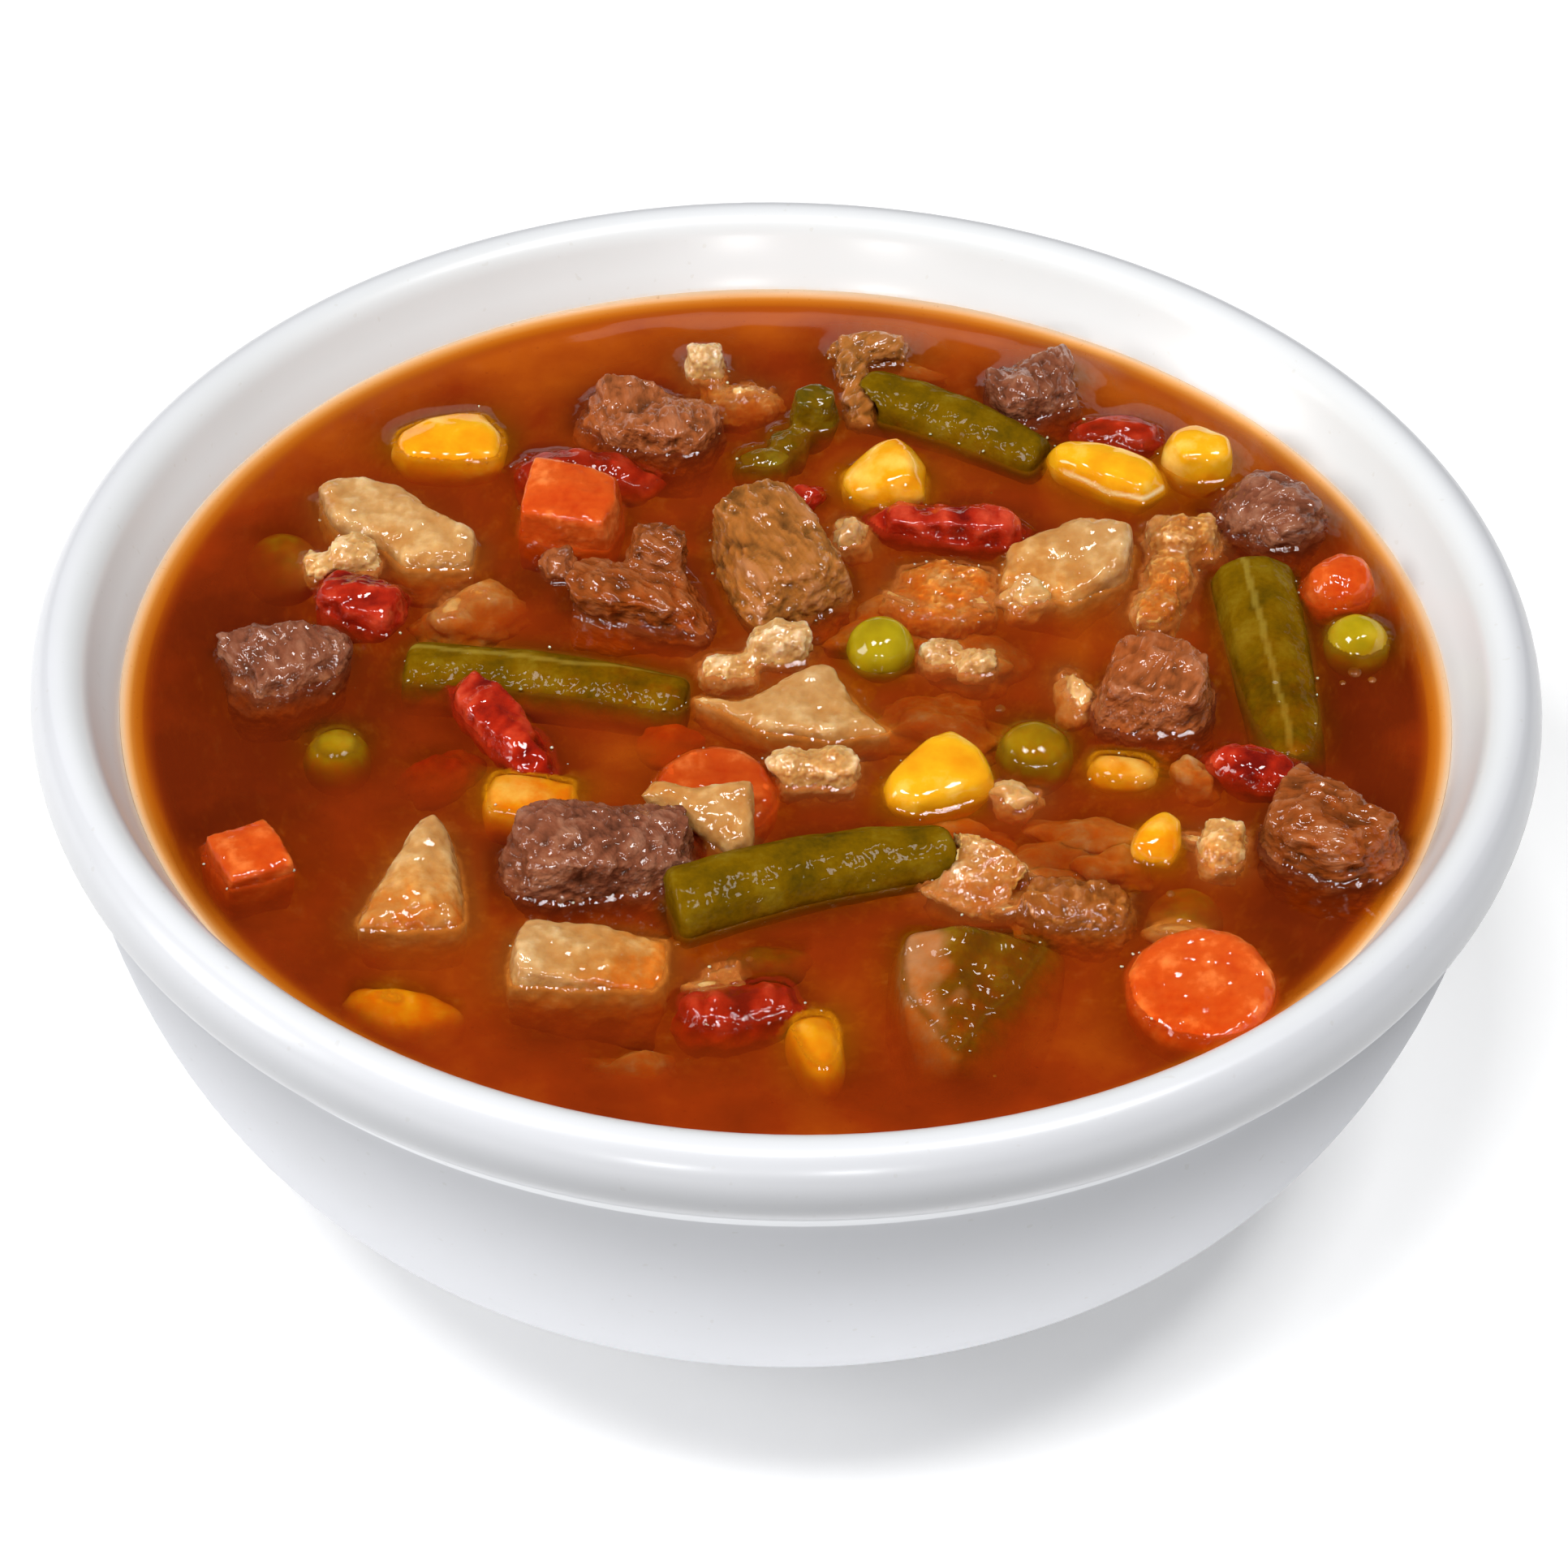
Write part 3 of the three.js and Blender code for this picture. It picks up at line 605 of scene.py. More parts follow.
def fibrous(turn, seed, sway=1.3):
    """Relief of cooked meat: bundles of fibres with cracks between, bent sideways by sway in millimetres."""
    coarse = along_fibres(turn, 3.0, 2.0)
    fine = along_fibres(turn, 1.0, 2.2)
    thin = along_fibres(turn, 0.6, 2.0)
    shift = Vector((seed * 3.7, seed * 1.9, seed * 5.3))

    def relief(point):
        point = point + sway * drift(point / 2.8 - shift)
        lump = noise.noise(point / 3.2 + shift)
        bundle = cracks(noise.noise(coarse @ point + shift), 0.16)
        strand = noise.noise(fine @ point + shift)
        thread = noise.noise(thin @ point - shift)
        return 0.16 * bundle + 0.56 + 0.34 * strand + 0.3 * thread + 0.4 * lump

    return relief


def mealy(seed, grain=3.2, fine=0.9, lumps=0.5, grit=0.22):
    """Relief of boiled root vegetables: soft lumps and a fine floury grit."""
    shift = Vector((seed * 2.3, seed * 4.1, seed * 1.7))

    def relief(point):
        lump = noise.noise(point / grain + shift)
        mote = noise.noise(point / fine - shift)
        return 0.66 + lumps * lump + grit * mote

    return relief


def pulpy(seed, grain=2.2):
    """Relief of soft vegetable tissue: folded and torn."""
    shift = Vector((seed * 1.3, seed * 2.9, seed * 4.7))

    def relief(point):
        fold = cracks(noise.noise(point / grain + shift), 0.35)
        grit = noise.noise(point / (grain * 0.42) + shift)
        lump = noise.noise(point / (grain * 1.8) - shift)
        return 0.25 * fold + 0.45 + 0.25 * grit + 0.5 * lump

    return relief


def folded(seed):
    """Relief of stewed tomato: long soft folds of skin with a little pulp."""
    turn = (math.radians(90), 0, math.radians(-70 + 40 * (seed % 3)))
    long, short = along_fibres(turn, 2.2, 2.6), along_fibres(turn, 1.0, 2.0)
    shift = Vector((seed * 2.7, seed * 1.1, seed * 3.9))

    def relief(point):
        fold = noise.noise(long @ point + shift)
        pulp = noise.noise(short @ point - shift)
        return 0.6 + 0.6 * fold + 0.35 * pulp

    return relief


def nodes_of(*slots):
    """The frame's nodes of these kinds of food, in order."""
    return [node for node in sorted(frame["nodes"]) if SLOT_OF[node] in slots]


def belly(floor_radius, wall_radius, floor_height, rise, from_height, to_height, steps):
    """The curve of the bowl's wall, from its floor up: (radius, height) in millimetres."""
    start = math.acos(1 - (from_height - floor_height) / rise)
    end = math.acos(1 - (to_height - floor_height) / rise)
    turns = [start + (end - start) * i / steps for i in range(steps + 1)]
    return [
        (floor_radius + (wall_radius - floor_radius) * math.sin(t) ** BELLY_POWER,
         floor_height + rise * (1 - math.cos(t)))
        for t in turns
    ]


def inside_wall(to_height, steps, grow=0.0):
    """The bowl's inner wall from its floor up to a height."""
    floor = FLOOR_TOP - grow
    wall = belly(
        INSIDE["floor_radius"], WALL_INNER_RADIUS + grow, floor, INSIDE["rise"], floor, to_height, steps
    )
    return [(0.0, floor), *wall]


def softened(points):
    """A line with its corners rounded off."""
    for _ in range(3):
        halves = [((a[0] + b[0]) / 2, (a[1] + b[1]) / 2) for a, b in zip(points, points[1:])]
        corners = [((a[0] + b[0]) / 2, (a[1] + b[1]) / 2) for a, b in zip(halves, halves[1:])]
        inner = [point for pair in zip(halves, corners) for point in pair]
        points = [points[0], *inner, halves[-1], points[-1]]
    return points


def section_of_bowl():
    """The bowl's section, foot first and inner floor last."""
    corner = 0.6
    centre = (RIM_RADIUS - RIM_HALF_WIDTH, HEIGHT / MM - RIM_HALF_HEIGHT)
    inner, outer = FOOT_INNER_RADIUS, FOOT_RADIUS
    foot = [
        (0.0, FOOT_RECESS), (inner * 0.5, FOOT_RECESS), (inner - corner, FOOT_RECESS),
        (inner - corner * 0.3, FOOT_RECESS * 0.6), (inner, 0.2), (inner + 0.3, 0.0), (outer - corner, 0.0),
        (outer - 0.15, 0.15), (outer, corner), (outer + corner, FOOT_HEIGHT + 0.2),
    ]
    outside = belly(
        OUTSIDE["floor_radius"], BODY_RADIUS, FOOT_HEIGHT, OUTSIDE["rise"],
        FOOT_HEIGHT + 1, OUTSIDE["to_height"], 30,
    )
    rim = [
        (centre[0] + RIM_HALF_WIDTH * math.cos(math.radians(a)),
         centre[1] + RIM_HALF_HEIGHT * math.sin(math.radians(a)))
        for a in range(-62, 147, 8)
    ]
    inside = inside_wall(LEVEL / MM + 1.0, 44)[::-1]
    flare = softened([rim[-1], FLARE_OVER_WALL, *inside[:3]])
    step = softened([*outside[-2:], STEP_UNDER_RIM, *rim[:2]])
    return [*foot, *outside[:-2], *step, *rim[2:-1], *flare, *inside[3:]]


def spun(points, steps):
    """Turns a section of (radius, height) in millimetres once round the Z axis."""
    mesh = bmesh.new()
    verts = [mesh.verts.new((radius * MM, 0, height * MM)) for radius, height in points]
    edges = [mesh.edges.new(pair) for pair in zip(verts, verts[1:])]
    bmesh.ops.spin(
        mesh, geom=verts + edges, cent=(0, 0, 0), axis=(0, 0, 1), angle=2 * math.pi, steps=steps,
        use_merge=True,
    )
    bmesh.ops.remove_doubles(mesh, verts=mesh.verts, dist=0.001 * MM)
    bmesh.ops.recalc_face_normals(mesh, faces=mesh.faces)
    return mesh


class SOUP_OT_bowl(bpy.types.Operator):
    """Make the glazed stoneware bowl"""

    bl_idname = "soup.bowl"
    bl_label = "Bowl"

    def execute(self, context):
        mesh = spun(section_of_bowl(), 160)
        sunk = mesh.verts.layers.float.new("sunk")
        film = mesh.verts.layers.float.new("film")
        indoors = mesh.verts.layers.float.new("indoors")
        for vert in mesh.verts:
            radius, height = vert.co.xy.length / MM, vert.co.z / MM
            inside = height > FLOOR_TOP - 0.01 and radius < self.wall_at(height) + 0.9
            vert[sunk] = min(1.0, max(0.0, (LEVEL / MM + 0.3 - height) / SUNK_SPAN)) * inside
            vert[film] = max(0.0, 1 - abs(height - LEVEL / MM) / 1.3) * inside
            into = (RIM_RADIUS - RIM_HALF_WIDTH * 0.6 - radius) / (RIM_HALF_WIDTH * 1.2)
            shaded = self.painted_shade_at(height, vert.co.y / MM / max(radius, 1.0))
            within = height > LEVEL / MM - 3 or inside
            # Painted light and shade on the glaze: below 0.5 it is painted shade outside, and above 0.5
            # painted light inside the rim.
            vert[indoors] = max(shaded, 0.5 + 0.5 * min(1.0, into)) if within and into > 0 else shaded
        finishes = [glazed_stoneware("glazed_stoneware", 1.0), glazed_stoneware("glazed_stoneware_sunk", 0.0)]
        finished(mesh, "stoneware_bowl", finishes, "bowl")
        return {"FINISHED"}

    @staticmethod
    def painted_shade_at(height, back):
        """Painted shade on the glaze outside, from 0 where it is darkest to 0.5, for the share that a point
        lies to the back.

        The shade is painted darkest under the rim and below the step, and the rim's painted shade is deepest
        in front.
        """
        under_rim = (0.7 - 0.3 * back) * math.exp(-((height - 54.5) / (4.5 if height > 54.5 else 2.2)) ** 2)
        under_step = 0.6 * math.exp(-((height - 51) / 15.0) ** 2) * (height < 51)
        return 0.5 - 0.5 * max(under_rim, under_step)

    @staticmethod
    def wall_at(height):
        """Radius of the inner wall at a height, in millimetres."""
        share = 1 - (min(height, LEVEL / MM + 2) - FLOOR_TOP) / INSIDE["rise"]
        turn = math.acos(max(-1.0, min(1.0, share)))
        floor_radius = INSIDE["floor_radius"]
        return floor_radius + (WALL_INNER_RADIUS - floor_radius) * math.sin(turn) ** BELLY_POWER


# Pieces that are rounder than the rest of their kind: how often they are softened.
ROUNDER = {"potato_2": 110, "potato_4": 20, "potato_5": 20, "carrot_dice_3": 60, "corn_kernel_4": 24}


def make_piece(node, finish, relief, depth, passes, mark_of=None):
    """Makes the piece for one node, and keeps where it is marked."""
    mesh = shaped(node, relief, depth, ROUNDER.get(node, passes))
    if mark_of:
        mark = mesh.verts.layers.float.new("mark")
        for vert in mesh.verts:
            vert[mark] = min(1.0, max(0.0, mark_of(node, vert.co / MM)))
    finished(mesh, f"{node}_cooked", finish, node)


def make_vegetables(slots, finish, relief_of, deeper, passes, mark_of=None):
    """Makes all the pieces of a kind of vegetable: deeper is their relief's share of the usual depth."""
    for number, node in enumerate(nodes_of(*slots)):
        make_piece(node, finish, relief_of(number), sizes().vegetable_relief * deeper, passes, mark_of)


def painted_relief_tones(base, dark, light):
    """Three tones of a colour, for painted shade in the hollows, the colour itself, and painted light on the
    ridges: the first and the last are each another colour and its share.
    """
    return mixed(base, linear(dark[0]), dark[1]), base, mixed(base, linear(light[0]), light[1])


def fibre_turn(number):
    """A repeatable direction for the fibres of a piece."""
    draw = random.Random(40 + number)
    return tuple(math.radians(draw.uniform(*between)) for between in ((60, 120), (-25, 25), (0, 180)))


def meat_painted_relief_tones(base):
    """The tones of a meat from painted shade in its cracks to painted light on its raised fibres."""
    return [c * 0.36 for c in base], list(base), mixed(base, linear("#DCA888"), 0.26)


# Chunks that the broth has coloured redder, and chunks that lie under a film of it.
REDDER = ("beef_1", "beef_5")
SOAKED = ("beef_3", "beef_8")


class SOUP_OT_beef(bpy.types.Operator):
    """Make the chunks of cooked beef"""

    bl_idname = "soup.beef"
    bl_label = "Beef"

    def execute(self, context):
        palette = colours()
        for number, node in enumerate(nodes_of("beef")):
            base = palette.beef
            if node in REDDER:
                base = palette.red_beef
            elif node in SOAKED:
                base = palette.soaked_beef
            turn = fibre_turn(number)
            finish = food_material(
                f"cooked_beef_{number + 1}", meat_painted_relief_tones(base), 0.6, 0.3, skin=1.8,
                fibre={"turn": turn, "length": 2.6},
            )
            make_piece(node, finish, fibrous(turn, number + 1), sizes().beef_relief, 2)
        return {"FINISHED"}


# The fibres of the largest stewed piece run to the front right.
LARGEST_STEWED = "beef_9"
LARGEST_TURN = (math.radians(90), 0, math.radians(28))


class SOUP_OT_stewed_beef(bpy.types.Operator):
    """Make the golden, stringy stewed beef"""

    bl_idname = "soup.stewed_beef"
    bl_label = "Stewed beef"

    def execute(self, context):
        for number, node in enumerate(nodes_of("stewed_beef")):
            turn = LARGEST_TURN if node == LARGEST_STEWED else fibre_turn(20 + number)
            finish = food_material(
                f"stewed_beef_{number + 1}", meat_painted_relief_tones(colours().stewed), 0.8, 0.4, film=1.0, wet=0.05,
                skin=2.4, speckle=0.5, blotch=0.5, glow=0.3, fibre={"turn": turn, "length": 5.0},
            )
            make_piece(node, finish, fibrous(turn, number + 31, sway=0.5), sizes().beef_relief, 2)
        return {"FINISHED"}


class SOUP_OT_carrot(bpy.types.Operator):
    """Make the boiled carrot"""

    bl_idname = "soup.carrot"
    bl_label = "Carrot"

    def execute(self, context):
        finish = food_material(
            "boiled_carrot", painted_relief_tones(colours().carrot, ("#B8340A", 0.8), ("#FF9A50", 0.7)),
            0.8, 0.1, wet=0.05, skin=3.0, speckle=0.45, glow=0.4,
        )
        make_vegetables(["carrot"], finish, lambda number: mealy(number + 3, 3.0, 0.8, 0.45, 0.22), 0.9, 7)
        return {"FINISHED"}


class SOUP_OT_potato(bpy.types.Operator):
    """Make the boiled potato"""

    bl_idname = "soup.potato"
    bl_label = "Potato"

    def execute(self, context):
        finish = food_material(
            "boiled_potato", painted_relief_tones(colours().potato, ("#A86A2C", 0.7), ("#EAD2A2", 0.6)),
            0.9, 0.16, wet=0.07, speckle=0.5, glow=0.45,
        )
        make_vegetables(["potato"], finish, lambda number: mealy(number + 9, 2.6, 0.9, 0.45, 0.25), 1.8, 9)
        return {"FINISHED"}


class SOUP_OT_corn(bpy.types.Operator):
    """Make the sweetcorn"""

    bl_idname = "soup.corn"
    bl_label = "Corn"

    def execute(self, context):
        finish = food_material(
            "sweetcorn_skin", painted_relief_tones(colours().corn, ("#DC7C04", 0.9), ("#FFE88C", 0.9)),
            1.5, 0.08, film=1.0, wet=0.05, speckle=0.4, blotch=0.6, glow=0.3, mark=linear("#F8E2B4"),
        )
        make_vegetables(
            ["corn"], finish, lambda number: mealy(number + 17, 3.6, 1.4, 0.4, 0.08), 1.0, 16, self.split
        )
        return {"FINISHED"}

    @staticmethod
    def split(node, point):
        """How much of the pale inside shows at a point: a line where the skin of one kernel is split."""
        if node != "corn_kernel_3":
            return 0.0
        low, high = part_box(node)
        front = 1.4 - abs(point.z - LEVEL / MM - 1.3 - 0.3 * noise.noise(point / 3)) / 0.22
        return front if point.y < (low.y + high.y) / 2 / MM - 0.2 * (point.x - low.x / MM) + 0.6 else 0.0


class SOUP_OT_peas(bpy.types.Operator):
    """Make the peas"""

    bl_idname = "soup.peas"
    bl_label = "Peas"

    def execute(self, context):
        finish = food_material(
            "pea_skin", painted_relief_tones(colours().pea, ("#6A5004", 0.8), ("#CDB83A", 0.7)),
            1.8, 0.05, speckle=0.3, glow=0.2,
        )
        make_vegetables(["pea"], finish, lambda number: mealy(number + 23, 2.6, 1.2, 0.35, 0.08), 0.7, 9)
        return {"FINISHED"}


# The seams that show on top of the pods: two points of each line, in millimetres.
SEAMS = {
    "green_bean_1": ((-38.0, 3.4), (-8.0, 0.6)),
    "green_bean_4": ((50.0, 16.0), (53.4, -7.0)),
}


class SOUP_OT_beans(bpy.types.Operator):
    """Make the green beans"""

    bl_idname = "soup.beans"
    bl_label = "Green beans"

    def execute(self, context):
        finish = food_material(
            "green_bean_skin", painted_relief_tones(colours().bean, ("#3A2E05", 0.8), ("#8E7A20", 0.6)),
            0.7, 0.1, film=0.15, wet=0.05, mark=colours().bean_seam,
        )
        make_vegetables(
            ["green_bean"], finish, lambda number: mealy(number + 29, 3.4, 0.9, 0.4, 0.12), 1.0, 5, self.seam
        )
        return {"FINISHED"}

    @staticmethod
    def seam(node, point):
        """How much of the seam shows at a point of a pod: a thin line that wavers a little."""
        if node not in SEAMS:
            return 0.0
        start, end = (Vector(place) for place in SEAMS[node])
        along = (end - start).normalized()
        aside = (point.xy - start).cross(along) + 0.25 * noise.noise(point / 4)
        return min(0.36, 1.3 - abs(aside) / 0.3)


class SOUP_OT_pepper(bpy.types.Operator):
    """Make the cooked green pepper"""

    bl_idname = "soup.pepper"
    bl_label = "Pepper"

    def execute(self, context):
        finish = food_material(
            "green_pepper_skin", painted_relief_tones(colours().bean, ("#3A3A08", 0.7), ("#948A22", 0.6)),
            1.0, 0.25, glow=0.1, mark=colours().pepper_flesh,
        )
        make_vegetables(
            ["green_pepper"], finish, lambda number: mealy(number + 33, 3.4, 0.9, 0.5, 0.2), 1.0, 4,
            self.flesh,
        )
        return {"FINISHED"}

    @staticmethod
    def flesh(node, point):
        """How much of the pale flesh shows at a point: the left of the chunk."""
        if node != "pepper_chunk":
            return 0.0
        low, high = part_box(node)
        share = (point.x - low.x / MM) / ((high.x - low.x) / MM)
        return (0.38 - share) / 0.16 + 0.9 * noise.noise(point / 2.4)


class SOUP_OT_tomato(bpy.types.Operator):
    """Make the stewed tomato"""

    bl_idname = "soup.tomato"
    bl_label = "Tomato"

    def execute(self, context):
        finish = food_material(
            "stewed_tomato", painted_relief_tones(colours().tomato, ("#5E0A06", 0.85), ("#DC5636", 0.6)),
            0.9, 0.2, film=0.9, wet=0.04, skin=1.8, blotch=0.6, glow=0.35,
        )
        make_vegetables(["tomato"], finish, lambda number: folded(number + 41), 1.7, 5)
        return {"FINISHED"}


class SOUP_OT_onion(bpy.types.Operator):
    """Make the cooked onion and cabbage"""

    bl_idname = "soup.onion"
    bl_label = "Onion and cabbage"

    def execute(self, context):
        finish = food_material(
            "cooked_onion", painted_relief_tones(colours().onion, ("#B0702E", 0.7), ("#FBEAD0", 0.8)),
            0.8, 0.2, film=1.0, wet=0.05, skin=1.6, speckle=0.5, blotch=0.6, glow=0.8,
        )
        make_vegetables(["onion", "cabbage"], finish, lambda number: pulpy(number + 51, 1.3), 2.6, 3)
        return {"FINISHED"}


# The broth

def cooked_food():
    """The pieces of food made so far, without what is still a solid."""
    solids = {solid.name for solid in frame["nodes"].values()}
    made = [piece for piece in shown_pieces() if piece.name not in solids]
    return [piece for piece in made if piece.get("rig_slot") in SHORE_TONES]


# The colour that thin broth takes from the piece that stands in it, for each kind of food.
SHORE_TONES = {
    "potato": "#CC7A2C", "onion": "#C47030", "cabbage": "#C47030", "corn": "#D08408", "carrot": "#C2440C",
    "tomato": "#94200A", "green_bean": "#744804", "green_pepper": "#744804", "pea": "#7C5404",
    "beef": "#6E2E14", "stewed_beef": "#94501A",
}


# How much less the broth climbs at smooth skins.
CLIMBS = {"green_bean": 0.3, "pea": 0.6, "carrot": 0.7}


def waterlines():
    """Points where the pieces' sides cross the broth's level, in metres.

    Each has the broth's colour there, and how much of the full climb it has.
    """
    shores = []
    for piece in cooked_food():
        places = [v.co for v in piece.data.vertices]
        tone, climb = linear(SHORE_TONES[piece["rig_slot"]]), CLIMBS.get(piece["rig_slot"], 1.0)
        for edge in piece.data.edges:
            a, b = (places[i] for i in edge.vertices)
            if (a.z - LEVEL) * (b.z - LEVEL) < 0:
                share = (LEVEL - a.z) / (b.z - a.z)
                shores.append((a.lerp(b, share).xy, tone, climb))
    return shores


def tree_of(shores):
    """A search tree over the waterlines."""
    tree = kdtree.KDTree(len(shores))
    for i, (point, _, _) in enumerate(shores):
        tree.insert((point.x, point.y, 0), i)
    tree.balance()
    return tree


def bed_of(pieces):
    """A tree of pieces that stand or lie in the broth, to find what is below a point."""
    places, faces = [], []
    for piece in pieces:
        first = len(places)
        places.extend(v.co.copy() for v in piece.data.vertices)
        faces.extend([first + i for i in face.vertices] for face in piece.data.polygons)
    return bvhtree.BVHTree.FromPolygons(places, faces)


# Pieces that stand so low that the broth runs over their tops.
COVERED = [
    "pea_2", "pea_3", "corn_kernel_6", "corn_kernel_7", "carrot_dice_4", "carrot_slice_1", "potato_6",
    "tomato_1", "tomato_5", "tomato_7", "pepper_chunk", "onion_3", "cabbage_1", "stewed_shred",
]


# How much the broth hides: at its skin, in its depth, and the depth in millimetres that it takes.
CLEAREST = 0.17
CLOUDIEST = 0.94
HIDES_BY = 2.6


def on_disc(x, y):
    """A point of the square from -1 to 1 moved onto the round disc."""
    return x * math.sqrt(1 - y * y / 2), y * math.sqrt(1 - x * x / 2)


class SOUP_OT_broth(bpy.types.Operator):
    """Fill the bowl with broth"""

    bl_idname = "soup.broth"
    bl_label = "Broth"

    def execute(self, context):
        grow = sizes().into_wall / MM
        wall = inside_wall(LEVEL / MM, 20, grow)
        radius = wall[-1][0] * MM
        mesh = bmesh.new()
        bmesh.ops.create_grid(mesh, x_segments=112, y_segments=112, size=1.0)
        for vert in mesh.verts:
            vert.co.x, vert.co.y = on_disc(vert.co.x, vert.co.y)
            vert.co *= radius
            vert.co.z = LEVEL
        lines = waterlines()
        shores = tree_of(lines)
        self.refine(mesh, shores)
        food = cooked_food()
        covered = [piece for piece in food if piece.name.removesuffix("_cooked") in COVERED]
        beds = (bed_of(food), bed_of(covered))
        survey = [self.depth_at(vert, shores, beds) for vert in mesh.verts]
        self.shade_by_depth(mesh, survey, radius)
        self.tint_shores(mesh, shores, lines)
        self.raise_shores(mesh, survey, radius)
        self.close_below(mesh, wall)
        bmesh.ops.recalc_face_normals(mesh, faces=mesh.faces)
        finished(mesh, "beef_broth", [broth_surface()], "broth")
        return {"FINISHED"}

    @staticmethod
    def refine(mesh, shores):
        """Cuts the faces next to the shores finer."""
        near = 1.7 * MM
        close = {vert for vert in mesh.verts if shores.find((vert.co.x, vert.co.y, 0))[2] < near}
        edges = [edge for edge in mesh.edges if edge.verts[0] in close and edge.verts[1] in close]
        bmesh.ops.subdivide_edges(mesh, edges=edges, cuts=3, use_grid_fill=True)

    @staticmethod
    def depth_at(vert, shores, beds):
        """How far the nearest shore is and how deep the broth, in millimetres, and if it runs over a piece.

        The depth is negative at a piece that stands out of the broth.
        """
        shore = shores.find((vert.co.x, vert.co.y, 0))[2] / MM
        start, down = Vector((vert.co.x, vert.co.y, LEVEL + 30 * MM)), Vector((0, 0, -1))
        hit, low_hit = (bed.ray_cast(start, down, 40 * MM)[0] for bed in beds)
        below = (LEVEL - hit.z) / MM if hit else 10.0
        over = bool(hit and low_hit and abs(hit.z - low_hit.z) < 0.01 * MM)
        return shore, below, over

    @staticmethod
    def shade_by_depth(mesh, survey, radius):
        """Keeps how near the wall is, how cloudy the broth is, and how much it hides what is below."""
        edge = mesh.verts.layers.float.new("edge")
        shade = mesh.verts.layers.float.new("shade")
        veil = mesh.verts.layers.float.new("veil")
        for vert, (shore, below, _) in zip(mesh.verts, survey):
            x, y = vert.co.x / MM, vert.co.y / MM
            wall = max(0.0, radius / MM - math.hypot(x, y))
            vert[edge] = math.exp(-wall / 1.2)
            swirl = 0.3 * noise.noise(Vector((x / 16, y / 16, 0.3)))
            swirl += 0.2 * noise.noise(Vector((x / 7, y / 7, 2.0)))
            sides = -0.5 * min(1.0, max(0.0, (abs(x) - 36) / 24))
            back = 1.1 * math.exp(-wall / 6) * max(0.0, min(1.0, (y + 20) / 50))
            vert[shade] = min(1.0, max(0.0, 0.46 + swirl + sides + back))
            depth = min(max(0.0, below), 0.7 * shore)
            thin = CLEAREST + (CLOUDIEST - CLEAREST) * (1 - math.exp(-depth / HIDES_BY))
            climbing = 0.7 * math.exp(-shore / 0.6)
            vert[veil] = max(thin, climbing, CLOUDIEST * min(1.0, vert[edge] * 2))

    @staticmethod
    def tint_shores(mesh, shores, lines):
        """Gives the thin broth round a piece the colour of what shows through it."""
        near = mesh.verts.layers.float_color.new("near")
        shade, climbs = mesh.verts.layers.float["shade"], mesh.verts.layers.float.new("climbs")
        for vert in mesh.verts:
            _, index, away = shores.find((vert.co.x, vert.co.y, 0))
            tone, climb = lines[index][1:]
            vert[near] = (*tone, math.exp(-away / MM / 0.8))
            vert[shade] += 0.7 * (tone[0] - 0.36) * math.exp(-away / MM / 4)
            vert[climbs] = climb

    @staticmethod
    def raise_shores(mesh, survey, radius):
        """Lets the broth climb where it meets a steep side of a piece, or the wall."""
        full_rise, reach = sizes().meniscus_rise / MM, sizes().meniscus_reach / MM
        climbs = mesh.verts.layers.float["climbs"]
        for vert, (shore, below, over) in zip(mesh.verts, survey):
            rise = full_rise * vert[climbs]
            wall = max(0.0, radius - vert.co.xy.length) / MM
            steep = min(1.0, abs(below) / max(shore, 0.1))
            fall = math.exp(-shore / reach)
            climb = rise * steep * fall
            if over and below < 0:
                climb = max(climb, 0.15 - below)
            elif below < 0:
                climb = max(climb, min(rise * (2 - fall), -below - 0.15))
            at_wall = full_rise * math.exp(-wall / (1.2 * reach))
            ripple = 0.05 * noise.noise(vert.co / (6 * MM))
            vert.co.z += (max(climb, at_wall) + ripple) * MM

    @staticmethod
    def close_below(mesh, wall):
        """Carries the outline down the wall and closes the floor."""
        rim = [edge for edge in mesh.edges if edge.is_boundary]
        edge, veil = mesh.verts.layers.float["edge"], mesh.verts.layers.float["veil"]
        for (radius, height), (above, _) in zip(wall[-2:0:-1], wall[::-1]):
            grown = bmesh.ops.extrude_edge_only(mesh, edges=rim)["geom"]
            verts = [item for item in grown if isinstance(item, bmesh.types.BMVert)]
            for vert in verts:
                flat = vert.co.xy.normalized() * radius * MM
                vert.co = Vector((flat.x, flat.y, height * MM))
                vert[edge], vert[veil] = 0.0, CLOUDIEST
            rim = [item for item in grown if isinstance(item, bmesh.types.BMEdge)]
        bmesh.ops.contextual_create(mesh, geom=rim)


